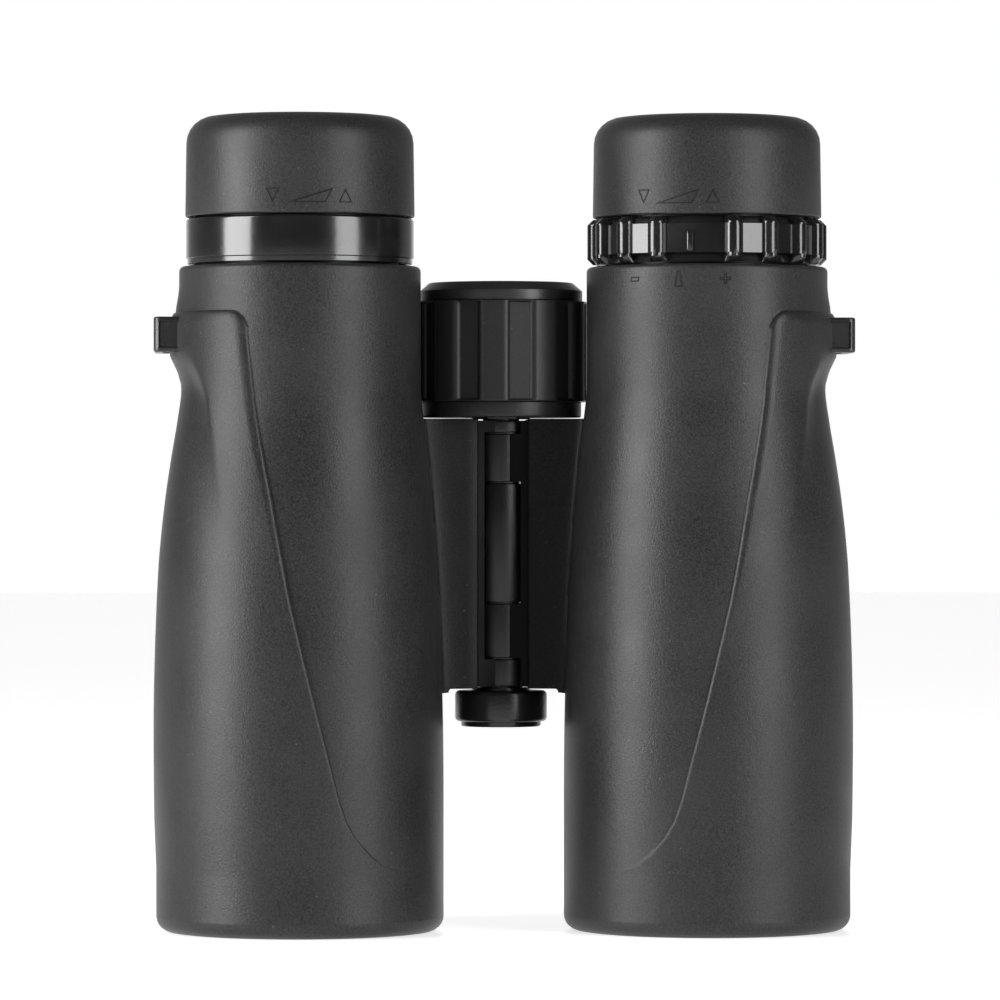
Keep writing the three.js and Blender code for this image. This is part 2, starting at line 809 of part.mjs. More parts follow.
function wheelCore() {
  const bore = axleRadius + gap;
  const gripSeat = wheelRadius - gripWall - gap;
  const lip = wheelRadius - wheelLipInset;
  return turned([
    [hubRecessRadius, wheelFoot],
    [lip, wheelFoot],
    [lip, wheelFoot + wheelLipHeight],
    [gripSeat, wheelFoot + wheelLipHeight],
    [gripSeat, discFoot - gap],
    [hubCavityRadius, discFoot - gap],
    [hubCavityRadius, hubCavityFoot],
    [bore, hubCavityFoot],
    [bore, hubBoreFoot],
    [hubRecessRadius, hubBoreFoot],
  ], lensSides);
}

function wheelGrip() {
  const pitch = (2 * Math.PI) / gripPanels;
  const corners = [];
  for (let panel = 0; panel < gripPanels; panel += 1) {
    const middle = panel * pitch;
    const edge = gripPanelHalfAngle + gripPanelEdge;
    corners.push(polar(wheelRadius, middle - edge));
    corners.push(polar(wheelRadius - gripPanelDepth, middle - gripPanelHalfAngle));
    corners.push(polar(wheelRadius - gripPanelDepth, middle + gripPanelHalfAngle));
    corners.push(polar(wheelRadius, middle + edge));
    corners.push(polar(wheelRadius, middle + pitch / 2));
  }
  const foot = wheelFoot + wheelLipHeight + gap;
  return upright(corners, foot, discFoot - gap, wheelRadius - gripWall);
}

// The wheel's top disc, with the threaded boss that drives the focusing rod.
function wheelDisc() {
  const bore = rodRadius + gap;
  const boss = hubCavityRadius - gap;
  const bossFoot = axleTop + 2 * gap;
  const boreTop = rodTop + focusTravel + 2 * gap;
  return turned([
    [bore, bossFoot],
    [boss, bossFoot],
    [boss, discFoot],
    [wheelRadius - discInset, discFoot],
    [wheelRadius - discInset, discFoot + discBand],
    [wheelRadius - discTopInset, wheelTop],
    [0, wheelTop],
    [0, boreTop],
    [bore, boreTop],
  ], lensSides);
}

function focusRod() {
  const pin = rod(pinRadius, -pinReach, pinReach, smallSides / 2);
  const shaft = solid(rod(rodRadius, rodFoot, rodTop, smallSides));
  return join(shaft, pin.rotateY(Math.PI / 2).translate(0, 0, pinHeight));
}

function socketCap() {
  const top = webFoot - capToWeb;
  const recess = axleFlangeRadius + gap;
  const recessFloor = axleFoot - gap;
  const soleRadius = capRadius - capSoleInset;
  return turned([
    [0, top - capHeight - capSoleThickness],
    [soleRadius, top - capHeight - capSoleThickness],
    [soleRadius, top - capHeight],
    [capRadius - capEdge, top - capHeight],
    [capRadius, top - capHeight + capEdge],
    [capRadius, top - capEdge],
    [capRadius - capEdge, top],
    [recess, top],
    [recess, recessFloor],
    [socketRadius - gap, recessFloor],
    [socketRadius - gap, recessFloor + capStud],
    [0, recessFloor + capStud],
  ], lensSides);
}

// ---------------------------------------------------------------- assembly

function half(side) {
  const group = new THREE.Group();
  const pieces = [
    ['housing', housing(side), casting],
    ['armour', armour(), rubber],
    ['objective_cell', objectiveCell(), blackMetal],
    ['objective_ring', objectiveRing(), blackMetal],
    ['objective_crown', crownLens(), glass],
    ['objective_flint', flintLens(), glass],
    ['focus_cell', focusCell(), blackMetal],
    ['focus_lens', focusLens(), glass],
    ['focus_arm', focusArm(side), brass],
    ['prism_cage', prismCage(), blackMetal],
    ['half_penta_prism', halfPentaPrism(), glass],
    ['roof_prism', roofPrism(), glass],
    ['eyepiece_tube', eyepieceTube(), blackMetal],
    ['ocular_cell', ocularCell(), softPlastic],
    ['field_lens', fieldLens(), glass],
    ['eye_lens', eyeLens(), glass],
    ['eye_lens_ring', eyeLensRing(), blackMetal],
    ['detent_ring', detentRing(), softPlastic],
    ['eyecup_sleeve', eyecupSleeve(), softPlastic],
    ['eyecup_cover', eyecupCover(), rubber],
    ['strap_lug', strapLug(), softPlastic],
    ['lug_screw', lugScrew(), steel],
  ];
  for (const [name, shape, material] of pieces) {
    group.add(piece(`${side}_${name}`, shape, material));
  }
  return group;
}

function centreLine() {
  const group = new THREE.Group();
  group.position.set(0, hingeSetBack, 0);
  group.add(
    piece('hinge_axle', hingeAxle(), steel),
    piece('hinge_tension_nut', tensionNut(), steel),
    piece('hinge_cover', hingeCover(), softPlastic),
    piece('wheel_circlip', circlip(), steel),
    piece('focus_wheel_core', wheelCore(), softPlastic),
    piece('focus_wheel_grip', wheelGrip(), rubber),
    piece('focus_wheel_disc', wheelDisc(), softPlastic),
    piece('focus_rod', focusRod(), brass),
    piece('tripod_socket_cap', socketCap(), softPlastic),
  );
  return group;
}

const rightHalf = half('right');
rightHalf.position.set(halfSpacing, 0, 0);
rightHalf.add(piece('right_dioptre_ring', dioptreRing(), glossPlastic));

const leftHalf = half('left');
leftHalf.scale.x = -1;
leftHalf.position.set(-halfSpacing, 0, 0);
leftHalf.add(piece('left_trim_ring', trimRing(), glossPlastic));

const binoculars = new THREE.Group();
binoculars.name = 'binoculars';
binoculars.add(rightHalf, leftHalf, centreLine());

export default binoculars;
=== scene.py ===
"""Roof-prism binoculars, standing upright on their objective rims and seen from underneath.

Sizes are in millimetres and become metres when a mesh is filled. +Z is up towards the eyepieces,
the underside faces -Y, and an angle round a barrel is measured from -Y towards +X.
"""

import bpy
import numpy as np
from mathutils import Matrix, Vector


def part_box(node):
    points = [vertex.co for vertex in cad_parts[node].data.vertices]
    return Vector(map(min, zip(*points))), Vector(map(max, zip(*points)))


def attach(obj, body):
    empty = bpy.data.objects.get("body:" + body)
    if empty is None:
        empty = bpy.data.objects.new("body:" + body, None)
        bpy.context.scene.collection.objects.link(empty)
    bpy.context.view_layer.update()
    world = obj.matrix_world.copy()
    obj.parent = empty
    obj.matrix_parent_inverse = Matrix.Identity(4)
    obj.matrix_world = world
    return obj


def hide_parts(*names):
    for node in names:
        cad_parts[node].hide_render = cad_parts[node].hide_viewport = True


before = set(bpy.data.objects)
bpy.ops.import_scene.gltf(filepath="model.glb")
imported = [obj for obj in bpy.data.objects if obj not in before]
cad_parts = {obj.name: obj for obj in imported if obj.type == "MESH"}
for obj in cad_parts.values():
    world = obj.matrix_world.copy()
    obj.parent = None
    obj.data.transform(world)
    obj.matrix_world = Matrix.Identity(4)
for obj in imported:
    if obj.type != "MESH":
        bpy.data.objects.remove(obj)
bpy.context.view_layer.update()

# ------------------------------------------------------------------------------------ camera
# A long lens looks level at the middle of the barrels, from a little left of the bridge. The
# sensor is a full frame, 36 mm wide.

camera_place = (-0.0525, -1.0987, 0.077)
camera_yaw = np.radians(2.7)
camera_data = bpy.data.cameras.new("camera")
camera_data.lens = 221
camera_data.sensor_width = 36
camera_data.clip_end = 20
camera = bpy.data.objects.new("camera", camera_data)
camera.location = camera_place
camera.rotation_euler = (np.pi / 2, 0, -camera_yaw)
bpy.context.collection.objects.link(camera)
bpy.context.scene.camera = camera

# ------------------------------------------------------------------- floor, backdrop and light
# A white table in a white cove. Two upright softboxes stand to the left and right of the
# camera, and the cove behind the object is brighter than the room behind the camera.

bpy.context.scene.view_settings.view_transform = "Standard"
shown_backdrop = 1.0
# how far a direction points away from the camera, from 0 to 1, and the light that comes from it
cove_ramp = [(0.0, 0.03), (0.55, 0.16), (0.86, 0.3), (0.97, 0.85)]
softboxes = {
    "left_softbox": {"angle": -68, "width": 0.48, "height": 1.1, "power": 19},
    "right_softbox": {"angle": 46, "width": 0.40, "height": 1.1, "power": 10},
}
softbox_distance = 0.9
softbox_height = 0.25

world = bpy.data.worlds.new("cove")
bpy.context.scene.world = world
world.use_nodes = True
nodes = world.node_tree.nodes
links = world.node_tree.links
background = nodes["Background"]
direction = nodes.new("ShaderNodeTexCoord")
split = nodes.new("ShaderNodeSeparateXYZ")
links.new(direction.outputs["Generated"], split.inputs[0])
towards_cove = nodes.new("ShaderNodeValToRGB")
steps = towards_cove.color_ramp.elements
while len(steps) < len(cove_ramp):
    steps.new(1.0)
for step, (depth, grey) in zip(steps, cove_ramp):
    step.position = depth
    step.color = (grey, grey, grey, 1)
links.new(split.outputs["Y"], towards_cove.inputs["Fac"])
seen = nodes.new("ShaderNodeLightPath")
choose = nodes.new("ShaderNodeMix")
choose.data_type = "FLOAT"
links.new(seen.outputs["Is Camera Ray"], choose.inputs["Factor"])
links.new(towards_cove.outputs["Color"], choose.inputs[2])
choose.inputs[3].default_value = shown_backdrop
links.new(choose.outputs[0], background.inputs["Strength"])
background.inputs["Color"].default_value = (1, 1, 1, 1)

for name, box in softboxes.items():
    turn = np.radians(box["angle"])
    light_data = bpy.data.lights.new(name, "AREA")
    light_data.shape = "RECTANGLE"
    light_data.size = box["width"]
    light_data.size_y = box["height"]
    light_data.energy = box["power"]
    light = bpy.data.objects.new(name, light_data)
    light.location = (softbox_distance * np.sin(turn), -softbox_distance * np.cos(turn),
                      softbox_height)
    light.rotation_euler = (np.pi / 2, 0, turn)
    light.visible_camera = False
    bpy.context.collection.objects.link(light)

floor_half = 4.0
floor_mesh = bpy.data.meshes.new("floor")
floor_mesh.from_pydata(
    [(-floor_half, -floor_half, 0), (floor_half, -floor_half, 0),
     (floor_half, floor_half, 0), (-floor_half, floor_half, 0)],
    [], [(0, 1, 2, 3)])
floor = bpy.data.objects.new("floor", floor_mesh)
bpy.context.collection.objects.link(floor)


def new_material(name):
    """A node material with its shader and its Object coordinates."""
    material = bpy.data.materials.new(name)
    material.use_nodes = True
    tree = material.node_tree
    shader = tree.nodes["Principled BSDF"]
    place = tree.nodes.new("ShaderNodeTexCoord")
    return material, tree, shader, place.outputs["Object"]


def add_noise(tree, place, scale, detail=2.0):
    """A noise value from 0 to 1, with a feature about 1 / scale metres across."""
    noise = tree.nodes.new("ShaderNodeTexNoise")
    noise.inputs["Scale"].default_value = scale
    noise.inputs["Detail"].default_value = detail
    tree.links.new(place, noise.inputs["Vector"])
    return noise.outputs["Fac"]


def add_range(tree, value, low, high, to_low=0, to_high=1):
    """The value carried from low..high to to_low..to_high, and held at the ends."""
    node = tree.nodes.new("ShaderNodeMapRange")
    for socket, number in zip(("From Min", "From Max", "To Min", "To Max"),
                              (low, high, to_low, to_high)):
        node.inputs[socket].default_value = number
    tree.links.new(value, node.inputs["Value"])
    return node.outputs["Result"]


def add_blend(tree, value, first, second):
    """A colour that goes from first to second as the value goes from 0 to 1."""
    node = tree.nodes.new("ShaderNodeMix")
    node.data_type = "RGBA"
    tree.links.new(value, node.inputs["Factor"])
    for socket, colour in ((6, first), (7, second)):
        if isinstance(colour, tuple):
            node.inputs[socket].default_value = (*colour, 1)
        else:
            tree.links.new(colour, node.inputs[socket])
    return node.outputs[2]


floor_paint, tree, shader, place = new_material("white_table")
streaks = add_range(tree, add_noise(tree, place, scale=3, detail=3), 0.35, 0.7)
tree.links.new(add_blend(tree, streaks, (0.82, 0.82, 0.82), (0.86, 0.86, 0.86)),
               shader.inputs["Base Color"])
shader.inputs["Roughness"].default_value = 0.32
shader.inputs["Specular IOR Level"].default_value = 0.4
shader.inputs["Emission Color"].default_value = (1, 1, 1, 1)
shader.inputs["Emission Strength"].default_value = 0.62
floor_mesh.materials.append(floor_paint)

# ----------------------------------------------------------------------------- barrel armour
# One skin of soft rubber, moulded over each die-cast barrel and its half of the bridge. A
# raised panel wraps the outer flank, with a hollow for the thumb below the strap lug.

mm = 0.001


def node_box(name):
    """Lowest and highest corner of a node, in mm."""
    low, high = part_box(name)
    return np.array(low) / mm, np.array(high) / mm


def add_surface(name, grid, material, poles=False, sharp=40):
    """A closed surface through a grid of points in mm, rows by columns. The columns close on
    themselves. The rows close too, or with poles the first and last row are one point each."""
    rows, columns = grid.shape[:2]
    if poles:
        points = np.vstack([grid[0, :1], grid[1:-1].reshape(-1, 3), grid[-1, :1]])
        first_row = 1
        bands = np.arange(rows - 3)
        next_bands = bands + 1
    else:
        points = grid.reshape(-1, 3)
        first_row = 0
        bands = np.arange(rows)
        next_bands = (bands + 1) % rows
    here = np.arange(columns)
    after = (here + 1) % columns
    near = first_row + bands[:, None] * columns
    far = first_row + next_bands[:, None] * columns
    quads = np.stack([near + here, near + after, far + after, far + here], axis=-1).reshape(-1, 4)
    faces = quads.tolist()
    if poles:
        last = len(points) - 1
        last_row = last - columns
        faces += np.stack([0 * here, 1 + after, 1 + here], axis=-1).tolist()
        faces += np.stack([last + 0 * here, last_row + here, last_row + after], axis=-1).tolist()
    a, b, c, d = (points[quads[:, k]] for k in range(4))
    volume = np.einsum("ij,ij->", a, np.cross(b, c)) + np.einsum("ij,ij->", a, np.cross(c, d))
    if volume < 0:
        faces = [face[::-1] for face in faces]
    mesh = bpy.data.meshes.new(name)
    mesh.from_pydata((points * mm).tolist(), [], faces)
    mesh.shade_smooth()
    mesh.set_sharp_from_angle(angle=np.radians(sharp))
    mesh.materials.append(material)
    piece = bpy.data.objects.new(name, mesh)
    bpy.context.collection.objects.link(piece)
    return piece


def outline(corners, closed=True, steps=6):
    """Points of an outline from its corners (across, up, rounding). A rounded corner becomes an
    arc that touches both its edges."""
    corners = np.array([(*corner, 0) if len(corner) == 2 else corner for corner in corners], float)
    points = []
    for index, (across, up, rounding) in enumerate(corners):
        corner = np.array([across, up])
        is_end = not closed and index in (0, len(corners) - 1)
        if rounding == 0 or is_end:
            points.append(corner)
            continue
        back = corners[index - 1, :2] - corner
        ahead = corners[(index + 1) % len(corners), :2] - corner
        back /= np.linalg.norm(back)
        ahead /= np.linalg.norm(ahead)
        half = np.arccos(np.clip(back @ ahead, -1, 1)) / 2
        centre = corner + (back + ahead) / np.linalg.norm(back + ahead) * rounding / np.sin(half)
        start = corner + back * rounding / np.tan(half) - centre
        end = corner + ahead * rounding / np.tan(half) - centre
        sweep = np.pi - 2 * half
        for part in np.linspace(0, 1, steps + 1):
            points.append(centre + (start * np.sin((1 - part) * sweep)
                                    + end * np.sin(part * sweep)) / np.sin(sweep))
    return np.array(points)


def shoulder(part):
    """A step with a sharp foot and a round top: a quarter circle as part goes from 0 to 1."""
    return np.sqrt(1 - (1 - np.clip(part, 0, 1)) ** 2)


def around(centre, radius, angle, height):
    """Points round an upright axis: x is the centre plus radius times the angle's sine, and y is
    the centre minus radius times its cosine."""
    return np.stack(np.broadcast_arrays(centre[0] + radius * np.sin(angle),
                                        centre[1] - radius * np.cos(angle), height), axis=-1)


cup_low, cup_high = node_box("right_eyecup_cover")
half_spacing = (cup_low[0] + cup_high[0]) / 2
axle_low, axle_high = node_box("hinge_axle")
hinge_y = (axle_low[1] + axle_high[1]) / 2
hinge_reach = np.hypot(half_spacing, hinge_y)
body_height = node_box("right_armour")[1][2]
sides = {"right": 1, "left": -1}

base_radius = 25.7
waist_radius = 21.6
taper_foot = 23.0
taper_top = body_height - 22.7
taper_power = 2.2
top_rounding = 0.9
bottom_rounding = 2.7
armour_wall = 1.6
top_bevel = 0.3
rim_opening = 22.0
rim_inner_rounding = 0.7
rim_depth = 5.1
web_foot = 43.1
web_top = 91.6
web_half = 6.3
web_half_root = 4.5
web_root = 14.0
web_edge = 0.3
web_fillet = 0.8
web_blend = 5.0
front_lip = 6.32
back_lip = 3.2
lip_inner_rounding = 0.12
lip_outer_rounding = 0.5
lip_length = 0.8
pocket_depth = 3.0
pocket_half = 5.1
pocket_draft = 0.55


def bare_radius(height):
    """Outside of the barrel without its panel: straight, then closing in to the waist by the
    part of the taper climbed, raised to a power."""
    part = np.clip((height - taper_foot) / (taper_top - taper_foot), 0, 1)
    return base_radius - (base_radius - waist_radius) * part ** taper_power


# heights, and angles in degrees, that the panel's front edge passes through
edge_heights = [11.8, 12.7, 14.6, 17.6, 20.6, 24.3, 41.9, 59.4, 77.0, 94.6, 106.0]
edge_angles = [-40.6, -33.7, -28.1, -21.8, -17.8, -14.9, -4.9, 4.6, 12.6, 22.2, 25.9]
panel_top = 110.5
panel_corner = 4.0
hollow_fall = np.radians(15)
flare_width = np.radians(20)


def panel_edge(height):
    """Angle of the panel's edge, in radians, by straight lines between the points above."""
    return np.radians(np.interp(height, edge_heights, edge_angles))


def panel_step(height):
    """How far the panel stands out of the barrel: nothing at its foot, and the most at its top."""
    return np.interp(height, [11, 20, 40, 60, 80], [0, 0.35, 0.62, 0.78, 0.93])


def panel_wall(height):
    """Width of the sloping wall along the panel's edge, which widens from its foot up."""
    return np.interp(height, [11, 30, 59, 106], [0.7, 0.8, 1.0, 2.3])


def edge_slant(height):
    """Cosine of the angle between the panel's edge and the barrel's axis, from how far round
    the edge moves over a short rise."""
    rise = 0.5
    slope = (panel_edge(height + rise) - panel_edge(height - rise)) / (2 * rise)
    return 1 / np.hypot(1, slope * bare_radius(height))


def flank_relief(angle, height):
    """What the flank adds to the bare barrel: the panel, less the thumb hollow, plus a bell
    curve that flares under the strap lug. The back of the barrel mirrors its front."""
    folded = np.pi / 2 - np.abs(angle - np.pi / 2)
    inside = (folded - panel_edge(height)) * bare_radius(height) * edge_slant(height)
    below = panel_top - height
    corner = panel_corner - np.hypot(panel_corner - inside, panel_corner - below)
    in_corner = (inside < panel_corner) & (below < panel_corner)
    depth = np.where(in_corner, corner, np.minimum(inside, below))
    relief = panel_step(height) * shoulder(depth / panel_wall(height))
    hollow_edge = np.radians(np.interp(height, [66, 71.8, 78, 87, 94.5, 98.7, 101],
                                       [27, 30.9, 35.6, 41.7, 46.9, 52.5, 57.4]))
    hollow_depth = np.interp(height, [66, 72, 78, 85, 89.5, 94, 97.5, 100, 102.6],
                             [0, 0.16, 0.42, 0.82, 1.12, 1.3, 1.3, 0.95, 0])
    fall = np.clip((folded - hollow_edge) / hollow_fall, 0, 1)
    relief = relief - hollow_depth * (1 - (1 - fall) ** 2)
    flare = np.interp(height, [97.5, 100, 103, 107.5, 108.9, 110.5, 111.5, 113.3, 115],
                      [0, 0.35, 0.75, 0.7, 0.56, 0.62, 0.52, 0.2, 0])
    return relief + flare * np.exp(-((folded - np.pi / 2) / flare_width) ** 2)


def web_section(lip):
    """Polar points of half the web's cross-section, from the hinge side out to the barrel: the
    bottom of the pocket, its wall, the rounded lip and the flat side of the web."""
    end = hinge_reach - lip
    points = outline([(end - pocket_depth, 0), (end - pocket_depth, pocket_half - pocket_draft),
                      (end, pocket_half, lip_inner_rounding), (end, web_half, lip_outer_rounding),
                      (end - lip_length, web_half)], closed=False, steps=4)
    side_end = end - 2 * lip_length
    side = np.linspace(side_end, web_root, 20)
    half = np.interp(side, [web_root, side_end], [web_half_root, web_half])
    points = np.vstack([points, np.stack([side, half], axis=-1)])
    return np.arctan2(points[:, 1], points[:, 0]), np.hypot(points[:, 0], points[:, 1])


web_angle = -np.arctan2(half_spacing, -hinge_y)
front_turns, front_reach = web_section(front_lip)
back_turns, back_reach = web_section(back_lip)
# heights of the armour's rows: every millimetre, closer at the panel's ends and the web's edges,
# and two rows in one place at each end of the web, where the surface steps in to the barrel
web_edge_rows = web_edge * (1 - np.cos(np.linspace(0, np.pi / 2, 5)))
outer_rows = np.unique(np.round(np.concatenate([
    np.arange(bottom_rounding, body_height - top_rounding, 1.0),
    np.arange(104.0, 115.0, 0.25),
    np.arange(10.0, 26.0, 0.5),
    web_foot - web_fillet + web_fillet * np.linspace(0, 1, 7),
    web_foot + web_edge_rows,
    web_top - web_edge_rows,
    [body_height - top_rounding],
]), 4))
outer_rows = np.sort(np.append(outer_rows, [web_top, web_foot]))


def spread(stops, counts):
    """Angles between stops that change with height, each stretch cut evenly."""
    parts = [start[:, None] + (end - start)[:, None] * np.arange(count) / count
             for start, end, count in zip(stops[:-1], stops[1:], counts)]
    return np.hstack(parts)


def armour_grid():
    """The armour round its own barrel axis: down the inner wall, round the objective rim, up the
    outside and over the top rim. Outside, its radius is the greater of the barrel's and the
    web's, filled out where the two are close. Also which of its faces are on the web."""
    height = outer_rows
    edge = panel_edge(height)
    wall = panel_wall(height) / bare_radius(height) / edge_slant(height)
    flat = np.ones_like(height)
    before = np.radians(3)
    stops = [(web_angle + front_turns[-1]) * flat, edge - before, edge, edge + wall,
             np.pi / 2 * flat, np.pi - edge - wall, np.pi - edge, np.pi - edge + before,
             (web_angle + 2 * np.pi - back_turns[-1]) * flat]
    flank = spread(stops, [46, 5, 12, 36, 36, 12, 5, 46])
    front = web_angle + front_turns[:-1][None, :] + 0 * height[:, None]
    back = web_angle + 2 * np.pi - back_turns[::-1][None, :-1] + 0 * height[:, None]
    angle = np.hstack([front, flank, back])
    reach = np.concatenate([front_reach[:-1], 0 * flank[0], back_reach[::-1][:-1]])
    bare = bare_radius(height)[:, None] + flank_relief(angle, height[:, None])
    # the web's ends have rounded edges, and the lower end runs into the barrel in a small fillet
    into = np.minimum(height - web_foot, web_top - height)
    doubled = np.append(np.diff(height) == 0, False)
    has_web = (into > 0) | ((height == web_foot) & ~doubled) | ((height == web_top) & doubled)
    edge_part = np.clip(1 - into / web_edge, 0, 1)
    drawn_in = web_edge * (1 - np.sqrt(1 - edge_part ** 2))
    web = np.where(has_web[:, None], reach[None, :] - drawn_in[:, None], 0)
    foot_part = np.clip((web_foot - height) / web_fillet, 0, 1)
    foot_reach = bare_radius(height) + web_fillet * (1 - np.sqrt(1 - (1 - foot_part) ** 2))
    under_web = (height <= web_foot) & ~has_web & (foot_part < 1)
    foot = np.where(under_web[:, None] & (reach > 0)[None, :],
                    np.minimum(reach[None, :], foot_reach[:, None]), 0)
    web = np.maximum(web, foot)
    closeness = np.clip(1 - np.abs(bare - web) / web_blend, 0, 1) * (web > 0)
    radius = np.maximum(bare, web) + closeness ** 2 * web_blend / 4
    outside = around((0, 0), radius, angle, height[:, None])
    rim = outline([(rim_opening, 1.2), (rim_opening, 0, rim_inner_rounding),
                   (base_radius, 0, bottom_rounding), (base_radius, bottom_rounding)],
                  closed=False)
    inner_heights = np.array([body_height - 2 * top_bevel, 100, 80, 60, 40, 20, rim_depth + 0.2])
    inner_radius = bare_radius(inner_heights) - armour_wall
    inner = np.stack([inner_radius, inner_heights], axis=-1)
    top_bore = waist_radius - armour_wall + top_bevel
    lead_in = np.vstack([[top_bore, body_height], inner, [rim_opening, rim_depth], rim[:-1]])
    lead_out = outline([(waist_radius, body_height - top_rounding),
                        (waist_radius, body_height, top_rounding),
                        (top_bore, body_height)], closed=False)[1:-1]
    below = around((0, 0), lead_in[:, :1], angle[:1], lead_in[:, 1:])
    above = around((0, 0), lead_out[:, :1], angle[-1:], lead_out[:, 1:])
    points = np.concatenate([below, outside, above])
    # faces on the web, which get the painted shade
    painted_shade_faces = np.zeros(points.shape[:2], bool)
    painted_shade_faces[len(below):len(below) + len(height)] = web > bare - web_blend / 2
    return points, painted_shade_faces


def add_bump(tree, shader, height, distance):
    """Lets a height from 0 to 1, which stands for 0 to distance metres, tilt the normal."""
    node = tree.nodes.new("ShaderNodeBump")
    node.inputs["Distance"].default_value = distance
    tree.links.new(height, node.inputs["Height"])
    tree.links.new(node.outputs["Normal"], shader.inputs["Normal"])


dust_grey = (0.12, 0.12, 0.118)


def rubber(name, dark, light, roughness, grain, depth, shine=0.3):
    """Soft-touch rubber: a fine moulded grain, cloudy handling marks and a few specks of dust.
    The grain is given in mm and its depth in metres."""
    material, tree, shader, place = new_material(name)
    cloud = add_noise(tree, place, scale=55, detail=3)
    fine = add_noise(tree, place, scale=1000 / grain, detail=3)
    specks = add_noise(tree, place, scale=1500, detail=1)
    dust = add_range(tree, specks, 0.76, 0.82, to_high=0.5)
    tone = add_blend(tree, add_range(tree, fine, 0.3, 0.75), dark, light)
    marked = add_blend(tree, add_range(tree, cloud, 0.45, 0.75, to_high=0.35), tone, light)
    tree.links.new(add_blend(tree, dust, marked, dust_grey), shader.inputs["Base Color"])
    tree.links.new(add_range(tree, cloud, 0.3, 0.7, roughness - 0.05, roughness + 0.06),
                   shader.inputs["Roughness"])
    shader.inputs["Specular IOR Level"].default_value = shine
    add_bump(tree, shader, fine, depth)
    return material


armour_rubber = rubber("armour_rubber", (0.006, 0.006, 0.0062), (0.032, 0.032, 0.0323),
                       roughness=0.40, grain=0.3, depth=0.00005)
# painted shade: the web between the barrels gets a darker, less shiny copy of the rubber
painted_shade_web_rubber = rubber("painted_shade_web_rubber", (0.005, 0.005, 0.0051), (0.014, 0.014, 0.0142),
                    roughness=0.36, grain=0.3, depth=0.00003, shine=0.11)
armour_shape, painted_shade_faces = armour_grid()
for side, sign in sides.items():
    placed = armour_shape * (sign, 1, 1) + (sign * half_spacing, 0, 0)
    piece = add_surface(f"{side}_barrel_armour", placed, armour_rubber, sharp=50)
    piece.data.materials.append(painted_shade_web_rubber)
    piece.data.polygons.foreach_set("material_index", painted_shade_faces.ravel().astype(np.int32))
    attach(piece, f"{side}_half")
    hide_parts(f"{side}_armour")

# ------------------------------------------------------------------------------ moulded marks
# Thin lines moulded proud of the rubber: minus, pointer and plus for the dioptre ring here,
# and further on the signs that show which way each eyecup twists up.

mark_proud = 0.025
mark_sunk = 0.15
mark_cuts = 6


def mark(name, centre, radius, angle, height, corners, line, material, body):
    """A line of constant width round a closed shape. Corners are (along, up) in mm from the
    mark's middle, wrapped round an upright cylinder at the angle, in degrees."""
    corners = np.array(corners, float)
    back = np.roll(corners, 1, axis=0) - corners
    ahead = np.roll(corners, -1, axis=0) - corners
    back /= np.linalg.norm(back, axis=1)[:, None]
    ahead /= np.linalg.norm(ahead, axis=1)[:, None]
    turn = ahead[:, 0] * back[:, 1] - ahead[:, 1] * back[:, 0]
    inward = (back + ahead) / turn[:, None] * line
    cuts = np.arange(mark_cuts)[:, None, None] / mark_cuts

    def along(loop):
        """The loop with each of its sides cut into equal parts, so that it bends."""
        cut_loop = loop * (1 - cuts) + np.roll(loop, -1, axis=0) * cuts
        return cut_loop.transpose(1, 0, 2).reshape(-1, 2)

    outer = along(corners)
    inner = along(corners + inward)
    rows = []
    for loop, proud in ((outer, -mark_sunk), (outer, mark_proud),
                        (inner, mark_proud), (inner, -mark_sunk)):
        turns = np.radians(angle) + loop[:, 0] / radius
        rows.append(around(centre, radius + proud, turns, height + loop[:, 1]))
    piece = add_surface(name, np.array(rows), material)
    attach(piece, body)


mark_rubber, tree, shader, place = new_material("mark_rubber")
worn = add_range(tree, add_noise(tree, place, scale=900), 0.35, 0.7)
tree.links.new(add_blend(tree, worn, (0.005, 0.005, 0.005), (0.016, 0.016, 0.016)),
               shader.inputs["Base Color"])
shader.inputs["Roughness"].default_value = 0.6
shader.inputs["Specular IOR Level"].default_value = 0.18

right_axis = (half_spacing, 0)
left_axis = (-half_spacing, 0)
scale_height = 116.0
mark_line = 0.26
scale_marks = {
    "minus_mark": (-40.7, [(-1.05, -0.45), (0.85, -0.45), (1.05, 0.45), (-0.85, 0.45)]),
    "pointer_mark": (-18.0, [(-0.8, -1.5), (0.8, -1.5), (0.3, 1.4), (-0.3, 1.4)]),
    "plus_mark": (4.0, [(-0.32, -1.0), (0.32, -1.0), (0.32, -0.32), (1.0, -0.32), (1.0, 0.32),
                        (0.32, 0.32), (0.32, 1.0), (-0.32, 1.0), (-0.32, 0.32), (-1.0, 0.32),
                        (-1.0, -0.32), (-0.32, -0.32)]),
}
for name, (angle, corners) in scale_marks.items():
    mark(name, right_axis, waist_radius, angle, scale_height, corners, mark_line, mark_rubber,
         "right_half")

# --------------------------------------------------------------------------------- eyecups
# A soft rubber cover with a rounded lip is pressed over a plastic sleeve, and twists up along
# the guide tube from the detent ring.


def turned(name, corners, axis, material, body, stands_for=(), poles=False, columns=144):
    """A round piece: an outline of (radius, height, rounding) corners turned about an upright
    axis. With poles, the outline starts and ends on the axis."""
    points = outline(corners, closed=not poles)
    angle = np.linspace(0, 2 * np.pi, columns, endpoint=False)
    grid = around(axis, points[:, :1], angle[None, :], points[:, 1:])
    piece = add_surface(name, grid, material, poles=poles)
    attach(piece, body)
    if stands_for:
        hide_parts(*stands_for)
    return piece


